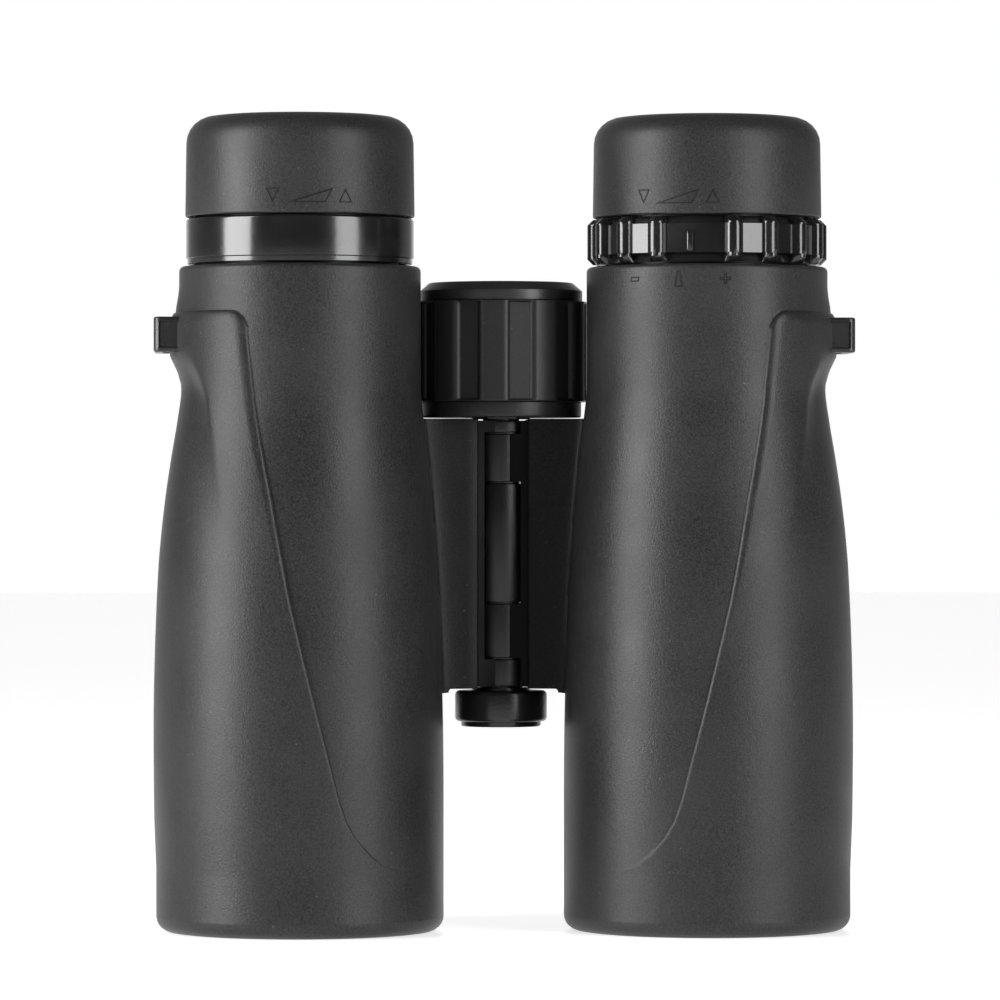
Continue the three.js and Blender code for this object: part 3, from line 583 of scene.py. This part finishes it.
def satin(name, dark, light, roughness, grain, depth, metallic=0.0):
    """Moulded plastic, paint or anodised metal: a faint grain, and tone and gloss that drift.
    The grain is given in mm and its depth in metres."""
    material, tree, shader, place = new_material(name)
    cloud = add_noise(tree, place, scale=130, detail=3)
    fine = add_noise(tree, place, scale=1000 / grain)
    tree.links.new(add_blend(tree, add_range(tree, cloud, 0.35, 0.7), dark, light),
                   shader.inputs["Base Color"])
    tree.links.new(add_range(tree, cloud, 0.3, 0.7, roughness * 0.88, roughness * 1.12),
                   shader.inputs["Roughness"])
    shader.inputs["Metallic"].default_value = metallic
    add_bump(tree, shader, fine, depth)
    return material


cup_rubber = rubber("eyecup_rubber", (0.008, 0.008, 0.0082), (0.034, 0.034, 0.0343),
                    roughness=0.42, grain=0.3, depth=0.00005)
soft_plastic = satin("soft_plastic", (0.010, 0.010, 0.0105), (0.018, 0.018, 0.0185),
                     roughness=0.42, grain=0.5, depth=0.00002)
cup_foot = cup_low[2]
cup_top = cup_high[2]
cup_radius = (cup_high[0] - cup_low[0]) / 2
cup_draft = 0.25
cup_rounding = 4.8
cup_opening = 14.8
cup_lip = 1.8
cup_bore = cup_radius - 1.2
sleeve_wall = 1.1
detent_radius = 17.6
detent_bore = 13.0
sign_line = 0.24
sign_radius = cup_radius - 0.03
sign_height = cup_foot + 3.1
sign_half = 1.3
twist_signs = {
    "down": [(-1.25, sign_half), (0, -sign_half), (1.25, sign_half)],
    "rise": [(-4.2, -sign_half), (2.8, -sign_half), (4.2, sign_half)],
    "up": [(-1.35, -sign_half), (1.35, -sign_half), (0, sign_half)],
}
# angles of the signs, in degrees: the two cups rest at different turns
twist_places = {"right": {"down": -37.7, "rise": -19.8, "up": -1.8},
                "left": {"down": -14.5, "rise": 4.0, "up": 22.2}}
for side, sign in sides.items():
    axis = (sign * half_spacing, 0)
    turned(f"{side}_eyecup_rubber", [
        (cup_radius, cup_foot, 0.35), (cup_radius - cup_draft, cup_top, cup_rounding),
        (cup_opening, cup_top, 0.6), (cup_opening, cup_top - cup_lip, 0.5),
        (cup_bore, cup_top - cup_lip, 3.3), (cup_bore, cup_foot, 0.1)],
        axis, cup_rubber, f"{side}_eyecup", [f"{side}_eyecup_cover"])
    sleeve_low, sleeve_high = node_box(f"{side}_eyecup_sleeve")
    sleeve_radius = (sleeve_high[0] - sleeve_low[0]) / 2
    turned(f"{side}_eyecup_core", [
        (sleeve_radius, sleeve_low[2], 0.2), (sleeve_radius, sleeve_high[2], 0.3),
        (sleeve_radius - sleeve_wall, sleeve_high[2], 0.3),
        (sleeve_radius - sleeve_wall, sleeve_low[2], 0.2)],
        axis, soft_plastic, f"{side}_eyecup", [f"{side}_eyecup_sleeve"])
    stop_low, stop_high = node_box(f"{side}_detent_ring")
    turned(f"{side}_click_ring", [
        (detent_radius, stop_low[2], 0.1), (detent_radius, stop_high[2], 0.25),
        (detent_bore, stop_high[2], 0.5), (detent_bore, stop_low[2], 0.1)],
        axis, soft_plastic, f"{side}_detent", [f"{side}_detent_ring"])
    for sign_name, corners in twist_signs.items():
        mark(f"{side}_twist_{sign_name}", axis, sign_radius, twist_places[side][sign_name],
             sign_height, corners, sign_line, mark_rubber, f"{side}_eyecup")

# ------------------------------------------------------------------------- dioptre ring, trim
# Glossy moulded rings between the armour and the eyecups. The right one turns, and has rounded
# ribs with flats between them and one rib left out for its index bar.

gloss_plastic = satin("gloss_plastic", (0.006, 0.006, 0.0065), (0.010, 0.010, 0.0105),
                      roughness=0.19, grain=1.2, depth=0.000012)
shader = gloss_plastic.node_tree.nodes["Principled BSDF"]
shader.inputs["Coat Weight"].default_value = 0.35
shader.inputs["Coat Roughness"].default_value = 0.12
ring_low, ring_high = node_box("left_trim_ring")
ring_foot = ring_low[2]
ring_top = ring_high[2]
trim_radius = (ring_high[0] - ring_low[0]) / 2
trim_bore = 19.0
groove_radius = trim_radius - 0.25
turned("left_gloss_ring", [
    (trim_bore, ring_foot), (groove_radius, ring_foot, 0.1),
    (groove_radius, ring_foot + 0.9, 0.05), (trim_radius, ring_foot + 1.0, 0.1),
    (trim_radius, ring_top, 0.5), (trim_bore, ring_top)],
    left_axis, gloss_plastic, "left_half", ["left_trim_ring"])

rib_count = 18
dioptre_bore = 18.3
missing_rib = np.radians(-10.9)
rib_crest = 21.5
rib_half = np.radians(4.6)
flat_radius = 20.0
step_radius = 19.5
step_slope = 0.47
flat_foot = ring_foot + 1.6
flat_top = ring_top - 1.3
step_width = 0.02
rib_chamfer = 1.0
pitch = 2 * np.pi / rib_count


def dioptre_radius(angle, height):
    """Flats between the ribs, ribs as round beads with chamfered ends, and a sloping step above
    and below the flats. The rib over the index bar is left out, and the ring is round there."""
    turn = (angle - missing_rib + pitch / 2) % pitch - pitch / 2
    from_index = np.abs((angle - missing_rib + np.pi) % (2 * np.pi) - np.pi)
    has_rib = from_index > pitch / 2
    across = np.where(from_index < pitch - rib_half, 0, np.abs(turn) - pitch / 2)
    end = np.minimum(height - ring_foot, ring_top - height)
    facet = flat_radius * np.cos(pitch / 2 - rib_half) / np.cos(across)
    within = (height > flat_foot) & (height < flat_top)
    step_height = np.where(height < flat_top, height - ring_foot, height - flat_top)
    floor_radius = np.where(within, facet, step_radius - step_slope * step_height)
    bead = np.sqrt(np.clip(1 - (turn / rib_half) ** 2, 0, 1))
    crest = rib_crest - rib_chamfer * np.clip(1 - end / rib_chamfer, 0, 1)
    return np.where(has_rib, floor_radius + (crest - floor_radius) * bead, floor_radius)


ring_heights = np.unique(np.concatenate([
    np.linspace(ring_foot, ring_foot + rib_chamfer, 5),
    [flat_foot - step_width, flat_top + step_width],
    np.linspace(flat_foot + step_width, flat_top - step_width, 8),
    np.linspace(ring_top - rib_chamfer, ring_top, 5)]))
ring_angles = np.linspace(0, 2 * np.pi, rib_count * 40, endpoint=False)
ring_outside = around(right_axis, dioptre_radius(ring_angles[None, :], ring_heights[:, None]),
                      ring_angles[None, :], ring_heights[:, None])
ring_inside = around(right_axis, dioptre_bore, ring_angles[None, :],
                     np.array([[ring_top], [ring_foot]]))
dioptre_piece = add_surface("dioptre_ribbed_ring", np.concatenate([ring_outside, ring_inside]),
                            gloss_plastic, sharp=30)
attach(dioptre_piece, "dioptre")
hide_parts("right_dioptre_ring")

index_turn = np.radians(-13.2)
index_height = (ring_foot + ring_top) / 2 - 0.4
index_half = 0.5
index_reach = 1.85
index_loop = outline([(-index_half, -index_reach, 0.2), (index_half, -index_reach, 0.2),
                      (index_half, index_reach, 0.2), (-index_half, index_reach, 0.2)])
# part of the full outline, and height above the flat, from the bar's foot to its round crown
index_crown = [(0, -0.3), (1, -0.3), (1, 0.1), (0.96, 0.2), (0.85, 0.24), (0, 0.25)]
index_rows = [around(right_axis, flat_radius + proud,
                     index_turn + size * index_loop[:, 0] / flat_radius,
                     index_height + size * index_loop[:, 1])
              for size, proud in index_crown]
index_bar = add_surface("dioptre_index", np.array(index_rows), gloss_plastic, poles=True)
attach(index_bar, "dioptre")

# ---------------------------------------------------------------------------- focusing wheel
# A metal core skinned with the rubber of its grip. The grip is a moulded sleeve with ten flat
# panels, pushed over the core, and a bevelled plastic disc closes the top. The wheel turns on
# the hinge axle above the bridge.

wheel_rubber = rubber("wheel_rubber", (0.009, 0.009, 0.0092), (0.020, 0.020, 0.0204),
                      roughness=0.38, grain=0.25, depth=0.00002)
disc_paint = satin("disc_paint", (0.014, 0.014, 0.0142), (0.022, 0.022, 0.0222),
                   roughness=0.34, grain=0.3, depth=0.00002)
hinge_axis = (0, hinge_y)
grip_low, grip_high = node_box("focus_wheel_grip")
grip_radius = (grip_high[0] - grip_low[0]) / 2
grip_foot = grip_low[2]
grip_top = grip_high[2]
panel_count = 10
panel_pitch = 2 * np.pi / panel_count
first_panel = np.radians(10.4)
panel_half = np.radians(6.9)
flank_width = np.radians(5.2)
panel_depth = 0.95
panel_end = 0.55
panel_rim = 0.15
grip_edge = 0.2
grip_bore = grip_radius - 3.2


def grip_surface(angle, height):
    """A cylinder with flat-bottomed panels. A panel rises to the next rib over a round flank,
    and slopes out to the rims at its ends."""
    turn = np.abs((angle - first_panel + panel_pitch / 2) % panel_pitch - panel_pitch / 2)
    flat = (grip_radius - panel_depth) * np.cos(panel_half) / np.cos(np.minimum(turn, panel_half))
    sideways = shoulder((turn - panel_half) / flank_width)
    end = np.minimum(height - grip_foot, grip_top - height)
    upright = shoulder(1 - (end + panel_rim) / panel_end)
    rise = np.maximum(sideways, upright)
    return flat + (grip_radius - flat) * rise - grip_edge * (1 - shoulder(end / grip_edge))


from_rim = np.array([0, 0.04, 0.1, 0.2, 0.3, 0.45, 0.6, 0.8, 1.0])
grip_heights = np.concatenate([
    grip_foot + from_rim,
    np.linspace(grip_foot + 1.6, grip_top - 1.6, 12),
    grip_top - from_rim[::-1]])
grip_angles = np.linspace(0, 2 * np.pi, panel_count * 60, endpoint=False)
grip_outside = around(hinge_axis, grip_surface(grip_angles[None, :], grip_heights[:, None]),
                      grip_angles[None, :], grip_heights[:, None])
grip_inside = around(hinge_axis, grip_bore, grip_angles[None, :],
                     np.array([[grip_top], [grip_foot]]))
grip = add_surface("wheel_grip_rubber", np.concatenate([grip_outside, grip_inside]),
                   wheel_rubber, sharp=32)
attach(grip, "focus_wheel")
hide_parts("focus_wheel_grip")

disc_low, disc_high = node_box("focus_wheel_disc")
disc_radius = (disc_high[0] - disc_low[0]) / 2
bevel_width = 1.75
bevel_height = 1.5
joint_gap = 0.03
turned("wheel_top_disc", [
    (0, disc_high[2]), (disc_radius - bevel_width, disc_high[2], 0.4),
    (disc_radius, disc_high[2] - bevel_height, 0.2), (disc_radius, grip_top + joint_gap, 0.15),
    (0, grip_top + joint_gap)], hinge_axis, disc_paint, "focus_wheel",
    ["focus_wheel_disc"], poles=True)

core_low, core_high = node_box("focus_wheel_core")
lip_radius = (core_high[0] - core_low[0]) / 2
drum_radius = grip_bore - 0.3
foot_bore = 8.5
shaft_bore = 3.6
head_bore = 5.8
boss_foot = 96.0
boss_top = 102.7
turned("wheel_core_metal", [
    (foot_bore, core_low[2], 0.2), (lip_radius, core_low[2], 0.35),
    (lip_radius, grip_foot - joint_gap, 0.2), (drum_radius, grip_foot - joint_gap),
    (drum_radius, core_high[2]), (head_bore, core_high[2]), (head_bore, boss_top),
    (shaft_bore, boss_top), (shaft_bore, boss_foot), (foot_bore, boss_foot)],
    hinge_axis, wheel_rubber, "focus_wheel", ["focus_wheel_core"])

# ----------------------------------------------------------------------------- bridge hinge
# The halves turn on a steel axle through four painted knuckles, two on each casting, with a
# plain cover over the focusing arms between them.

cast_paint = satin("cast_paint", (0.004, 0.004, 0.0041), (0.008, 0.008, 0.0082),
                   roughness=0.34, grain=0.35, depth=0.00003)
dark_steel = satin("dark_steel", (0.05, 0.05, 0.052), (0.09, 0.09, 0.092),
                   roughness=0.32, grain=0.8, depth=0.00001, metallic=1.0)
knuckle_radius = 5.5
knuckle_skin = 0.05
knuckle_end = 0.02
knuckle_wall = 0.9
shell_wall = 0.7
# foot and top of each knuckle, and the body it was cast with
knuckles = {
    "left_top_knuckle": (89.2, 91.3, "left_half"),
    "right_upper_knuckle": (80.3, 88.9, "right_half"),
    "right_lower_knuckle": (48.6, 58.3, "right_half"),
    "left_bottom_knuckle": (43.4, 48.3, "left_half"),
}
for name, (foot, top, body) in knuckles.items():
    outer = knuckle_radius + knuckle_skin
    turned(name, [(outer - knuckle_wall, foot - knuckle_end), (outer, foot - knuckle_end, 0.3),
                  (outer, top + knuckle_end, 0.3), (outer - knuckle_wall, top + knuckle_end)],
           hinge_axis, cast_paint, body, columns=96)

shell_low, shell_high = node_box("hinge_cover")
shell_from = np.radians(-32)
shell_to = np.radians(85)
shell_inside = knuckle_radius - shell_wall
shell_section = outline([(shell_inside, shell_low[2], 0.1), (knuckle_radius, shell_low[2], 0.25),
                         (knuckle_radius, shell_high[2], 0.25), (shell_inside, shell_high[2], 0.1)],
                        steps=3)
shell_turns = np.linspace(shell_from, shell_to, 40)
shell_rows = around(hinge_axis, shell_section[None, :, 0], shell_turns[:, None],
                    shell_section[None, :, 1])
shell_ends = [np.repeat(row.mean(axis=0, keepdims=True), len(row), axis=0)
              for row in (shell_rows[0], shell_rows[-1])]
shell = add_surface("hinge_shell", np.concatenate([shell_ends[:1], shell_rows, shell_ends[1:]]),
                    cast_paint, poles=True)
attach(shell, "right_half")
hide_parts("hinge_cover")

axle_radius = 3.3
foot_radius = 3.9
foot_top = 52.3
flange_radius = 5.2
flange_top = 43.1
socket_radius = 2.9
socket_top = 51.2
washer_radius = 5.3
washer_half = 0.06


def washer(height, shaft_radius):
    """Corners of a thin collar that fills the gap between two knuckles at a height."""
    return [(shaft_radius, height - washer_half), (washer_radius, height - washer_half),
            (washer_radius, height + washer_half), (shaft_radius, height + washer_half)]


turned("hinge_pin", [
    (0, socket_top), (socket_radius, socket_top), (socket_radius, axle_low[2], 0.2),
    (flange_radius, axle_low[2], 0.25), (flange_radius, flange_top, 0.1), (foot_radius, flange_top),
    *washer(48.45, foot_radius), (foot_radius, foot_top, 0.2), (axle_radius, foot_top),
    *washer(58.45, axle_radius), *washer(80.15, axle_radius), *washer(89.05, axle_radius),
    (axle_radius, axle_high[2], 0.4), (0, axle_high[2])],
    hinge_axis, dark_steel, "right_half", ["hinge_axle"], poles=True, columns=96)

# ------------------------------------------------------------------------------- strap lugs
# A moulded plastic loop on the outer side of each barrel, slotted from top to bottom for a
# strap. A screw from inside the barrel holds it.


def rounded_loop(low, high, corner, steps=7):
    """Points round a rectangle whose corners are quarter circles, with 15 points on each side
    between them, so that every size has the same number."""
    inner = np.array([(high[0], high[1]), (low[0], high[1]), (low[0], low[1]), (high[0], low[1])])
    inner = inner + corner * np.array([(-1, -1), (1, -1), (1, 1), (-1, 1)])
    turns = np.linspace(0, np.pi / 2, steps) + np.arange(4)[:, None] * np.pi / 2
    arcs = inner[:, None] + corner * np.stack([np.cos(turns), np.sin(turns)], axis=-1)
    run = np.roll(arcs[:, :1], -1, axis=0) - arcs[:, -1:]
    sides_between = arcs[:, -1:] + run * (np.arange(1, 16) / 16)[None, :, None]
    return np.concatenate([arcs, sides_between], axis=1).reshape(-1, 2)


lug_low, lug_high = node_box("right_strap_lug")
lug_plastic = satin("lug_plastic", (0.012, 0.012, 0.0122), (0.020, 0.020, 0.0202),
                    roughness=0.3, grain=0.4, depth=0.00002)
lug_edge = 0.4
lug_corner = 1.2
slot_corner = 0.9
face_frame = 0.75
face_slope = 0.2
face_depth = 0.35
slot_half = 4.75
slot_low = (lug_high[0] - half_spacing - 4.0, -slot_half)
slot_high = (lug_high[0] - half_spacing - 1.6, slot_half)
outer_low = (lug_low[0] - half_spacing, lug_low[1])
outer_high = (lug_high[0] - half_spacing, lug_high[1])


def lug_loops():
    """Rows of the lug: over its outside from foot to top, and back down through the slot. Its
    front and back are sunk a little inside a narrow frame."""
    bends = np.linspace(0, np.pi / 2, 5)
    insets = lug_edge * (1 - np.sin(bends))
    drops = lug_edge * (1 - np.cos(bends))
    outer = (outer_low, outer_high, lug_corner)
    slot = (slot_low, slot_high, slot_corner)
    rows = [(*outer, inset, lug_low[2] + drop) for inset, drop in zip(insets, drops)]
    for height in (lug_low[2] + face_frame, lug_low[2] + face_frame + face_slope,
                   lug_high[2] - face_frame - face_slope, lug_high[2] - face_frame):
        rows.append((*outer, 0, height))
    rows += [(*outer, inset, lug_high[2] - drop) for inset, drop in zip(insets[::-1], drops[::-1])]
    rows += [(*slot, -inset, lug_high[2] - drop) for inset, drop in zip(insets, drops)]
    rows += [(*slot, -inset, lug_low[2] + drop) for inset, drop in zip(insets[::-1], drops[::-1])]
    grid = []
    for low, high, corner, inset, height in rows:
        loop = rounded_loop(np.array(low) + inset, np.array(high) - inset, max(corner - inset, 0.3))
        from_frame = np.minimum(outer_high[0] - face_frame - loop[:, 0],
                                min(height - lug_low[2], lug_high[2] - height) - face_frame)
        flat = (low is outer_low) & (np.abs(loop[:, 1]) > outer_high[1] - 0.02)
        sunk = np.where(flat, face_depth * np.clip(from_frame / face_slope, 0, 1), 0)
        loop[:, 1] -= np.sign(loop[:, 1]) * sunk
        grid.append(np.column_stack([loop, np.full(len(loop), height)]))
    return np.array(grid)


lug_shape = lug_loops()
for side, sign in sides.items():
    lug = add_surface(f"{side}_strap_loop", lug_shape * (sign, 1, 1) + (sign * half_spacing, 0, 0),
                      lug_plastic)
    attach(lug, f"{side}_half")
    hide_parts(f"{side}_strap_lug")

# ---------------------------------------------------------------------- tripod socket cap
# A moulded plastic cap that closes the tripod socket. It screws into the foot of the hinge axle
# with a threaded steel stud.

cap_low, cap_high = node_box("tripod_socket_cap")
cap_plastic = satin("cap_plastic", (0.009, 0.009, 0.0092), (0.016, 0.016, 0.0162),
                    roughness=0.26, grain=0.5, depth=0.00002)
cap_radius = (cap_high[0] - cap_low[0]) / 2
cap_top = 42.6
cap_foot = 37.0
button_radius = cap_radius - 1.1
recess_radius = 5.6
recess_depth = 0.9
turned("socket_cap", [
    (0, cap_low[2]), (button_radius, cap_low[2], 0.3), (button_radius, cap_foot, 0.05),
    (cap_radius, cap_foot, 0.8), (cap_radius, cap_top, 0.8), (recess_radius, cap_top, 0.2),
    (recess_radius, cap_top - recess_depth), (0, cap_top - recess_depth)],
    hinge_axis, cap_plastic, "socket_cap", ["tripod_socket_cap"], poles=True)

# the thread's crests wind up by one pitch a turn, and the last of them fade out at the tip
stud_radius = 2.6
stud_top = cap_high[2]
crest_inset = 0.15
thread_pitch = 1.27
thread_depth = 0.3
tip_length = 0.6
stud_heights = np.linspace(cap_top - 1.2, stud_top, 70)
stud_angles = np.linspace(0, 2 * np.pi, 48, endpoint=False)
thread = (stud_heights[:, None] / thread_pitch - stud_angles[None, :] / (2 * np.pi)) % 1
ramp = np.clip((stud_top - stud_heights) / tip_length, 0, 1)[:, None]
groove = thread_depth * (np.abs(2 * thread - 1) * ramp + 1 - ramp)
stud = around(hinge_axis, stud_radius - crest_inset - groove,
              stud_angles[None, :], stud_heights[:, None])
stud_ends = [np.repeat(row.mean(axis=0, keepdims=True), len(row), axis=0)
             for row in (stud[0], stud[-1])]
stud_piece = add_surface("socket_cap_stud", np.concatenate([stud_ends[:1], stud, stud_ends[1:]]),
                         dark_steel, poles=True, sharp=60)
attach(stud_piece, "socket_cap")

# ---------------------------------------------------------------------------------- optics
# Ground and coated glass lenses in blackened metal cells, each held by a threaded ring. The eye
# lens sits down in the eyecup, and the objective is set back in the mouth of the barrel.

black_metal = satin("black_metal", (0.010, 0.010, 0.0105), (0.018, 0.018, 0.0185),
                    roughness=0.34, grain=0.6, depth=0.00001, metallic=0.6)


def coated_glass(name, tint, film):
    """Polished glass under a thin anti-reflection film, whose thickness in nm sets its hue."""
    material, tree, shader, place = new_material(name)
    smear = add_range(tree, add_noise(tree, place, scale=90, detail=3), 0.4, 0.75, 0.01, 0.045)
    tree.links.new(smear, shader.inputs["Roughness"])
    haze = add_range(tree, add_noise(tree, place, scale=40), 0.3, 0.8)
    tree.links.new(add_blend(tree, haze, tint, tuple(0.93 * part for part in tint)),
                   shader.inputs["Base Color"])
    shader.inputs["Transmission Weight"].default_value = 1.0
    shader.inputs["IOR"].default_value = 1.6
    shader.inputs["Thin Film Thickness"].default_value = film
    shader.inputs["Thin Film IOR"].default_value = 1.38
    return material


eye_glass = coated_glass("eye_glass", (0.80, 0.90, 0.84), film=260)
front_glass = coated_glass("front_glass", (0.72, 0.86, 0.80), film=330)


def lens_corners(low, high, radius, top_bulge, foot_bulge):
    """Half outline of a lens from pole to pole: each face falls away from its pole by its bulge
    times the square of the part of the radius, and a straight edge joins them."""
    across = np.linspace(0, radius, 12)
    top = high - top_bulge * (across / radius) ** 2
    foot = low + foot_bulge * (across / radius) ** 2
    return [*zip(across, top)] + [*zip(across[::-1], foot[::-1])]


guide_radius = 17.6
guide_bore = 12.9
guide_seat = body_height + 0.3
cell_wall = 1.3
cell_waist = 2.8
cell_waist_foot = 109.5
cell_waist_top = 131.5
ring_wall = 1.2
collar_wall = 0.8
front_wall = 0.9
front_seat = 18.1
front_seat_wall = 2.9
for side, sign in sides.items():
    axis = (sign * half_spacing, 0)
    guide_low, guide_high = node_box(f"{side}_eyepiece_tube")
    seat_radius = (guide_high[0] - guide_low[0]) / 2
    turned(f"{side}_guide_tube", [
        (guide_bore, guide_low[2], 0.2), (seat_radius, guide_low[2], 0.2),
        (seat_radius, guide_seat, 0.1), (guide_radius, guide_seat),
        (guide_radius, guide_high[2], 0.4), (guide_bore, guide_high[2], 0.4)],
        axis, black_metal, f"{side}_half", [f"{side}_eyepiece_tube"])
    ocular_body = "right_ocular" if side == "right" else "left_half"
    cell_low, cell_high = node_box(f"{side}_ocular_cell")
    cell_radius = (cell_high[0] - cell_low[0]) / 2
    turned(f"{side}_eyepiece_cell", [
        (cell_radius, cell_low[2]), (cell_radius, cell_high[2], 0.25),
        (cell_radius - cell_wall, cell_high[2], 0.25), (cell_radius - cell_wall, cell_waist_top),
        (cell_radius - cell_waist, cell_waist_top), (cell_radius - cell_waist, cell_waist_foot),
        (cell_radius - cell_wall, cell_waist_foot), (cell_radius - cell_wall, cell_low[2])],
        axis, soft_plastic, ocular_body, [f"{side}_ocular_cell"])
    lens_low, lens_high = node_box(f"{side}_eye_lens")
    turned(f"{side}_eye_glass", lens_corners(lens_low[2], lens_high[2],
                                             (lens_high[0] - lens_low[0]) / 2, 1.2, 1.2),
           axis, eye_glass, ocular_body, [f"{side}_eye_lens"], poles=True)
    keep_low, keep_high = node_box(f"{side}_eye_lens_ring")
    keep_radius = (keep_high[0] - keep_low[0]) / 2
    turned(f"{side}_eye_glass_ring", [
        (keep_radius, keep_low[2]), (keep_radius, keep_high[2], 0.15),
        (keep_radius - 0.5, keep_high[2], 0.1),
        (keep_radius - ring_wall, keep_low[2] + 0.3, 0.1), (keep_radius - ring_wall, keep_low[2])],
        axis, black_metal, ocular_body, [f"{side}_eye_lens_ring"])
    front_low, front_high = node_box(f"{side}_objective_crown")
    turned(f"{side}_front_glass", lens_corners(front_low[2], front_high[2],
                                               (front_high[0] - front_low[0]) / 2, 2.2, 1.8),
           axis, front_glass, f"{side}_half", [f"{side}_objective_crown"],
           poles=True)
    collar_low, collar_high = node_box(f"{side}_objective_ring")
    collar_radius = (collar_high[0] - collar_low[0]) / 2
    turned(f"{side}_front_collar", [
        (collar_radius, collar_low[2], 0.1), (collar_radius, collar_high[2]),
        (collar_radius - collar_wall, collar_high[2]),
        (collar_radius - collar_wall, collar_low[2] + 0.5, 0.1),
        (collar_radius - 0.5, collar_low[2], 0.1)],
        axis, black_metal, f"{side}_half", [f"{side}_objective_ring"])
    tube_low, tube_high = node_box(f"{side}_objective_cell")
    tube_radius = (tube_high[0] - tube_low[0]) / 2
    turned(f"{side}_front_cell", [
        (tube_radius, tube_low[2], 0.2), (tube_radius, tube_high[2]),
        (tube_radius - front_seat_wall, tube_high[2]), (tube_radius - front_seat_wall, front_seat),
        (tube_radius - front_wall, front_seat), (tube_radius - front_wall, tube_low[2], 0.2)],
        axis, black_metal, f"{side}_half", [f"{side}_objective_cell"])

# ------------------------------------------------------------------ pieces kept as they are
# Die-cast housings, glass prisms, screws and the brass and steel focusing gear keep the shapes
# they have in the frame. Each one's material slots get a finish.

brass = satin("brass", (0.46, 0.33, 0.13), (0.56, 0.42, 0.19),
              roughness=0.33, grain=0.6, depth=0.00001, metallic=1.0)
bright_steel = satin("bright_steel", (0.42, 0.42, 0.43), (0.55, 0.55, 0.56),
                     roughness=0.3, grain=0.5, depth=0.00001, metallic=1.0)
inner_glass = coated_glass("inner_glass", (0.88, 0.94, 0.90), film=300)
# painted shade: the housings, seen in the dark channel by the hinge, get a darker, duller paint
housing_painted_shade = satin("housing_painted_shade", (0.002, 0.002, 0.002), (0.004, 0.004, 0.004),
                     roughness=0.5, grain=0.5, depth=0.00002)
shader = housing_painted_shade.node_tree.nodes["Principled BSDF"]
shader.inputs["Specular IOR Level"].default_value = 0.12
kept_finishes = {
    "housing": housing_painted_shade, "focus_cell": black_metal, "focus_arm": brass,
    "prism_cage": black_metal, "lug_screw": bright_steel,
    "objective_flint": inner_glass, "focus_lens": inner_glass, "half_penta_prism": inner_glass,
    "roof_prism": inner_glass, "field_lens": inner_glass,
}
kept_nodes = {f"{side}_{name}": finish for side in sides for name, finish in kept_finishes.items()}
kept_nodes |= {"focus_rod": bright_steel, "hinge_tension_nut": dark_steel,
               "wheel_circlip": bright_steel}
for name, finish in kept_nodes.items():
    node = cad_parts[name]
    for index in range(len(node.material_slots)):
        node.material_slots[index].material = finish
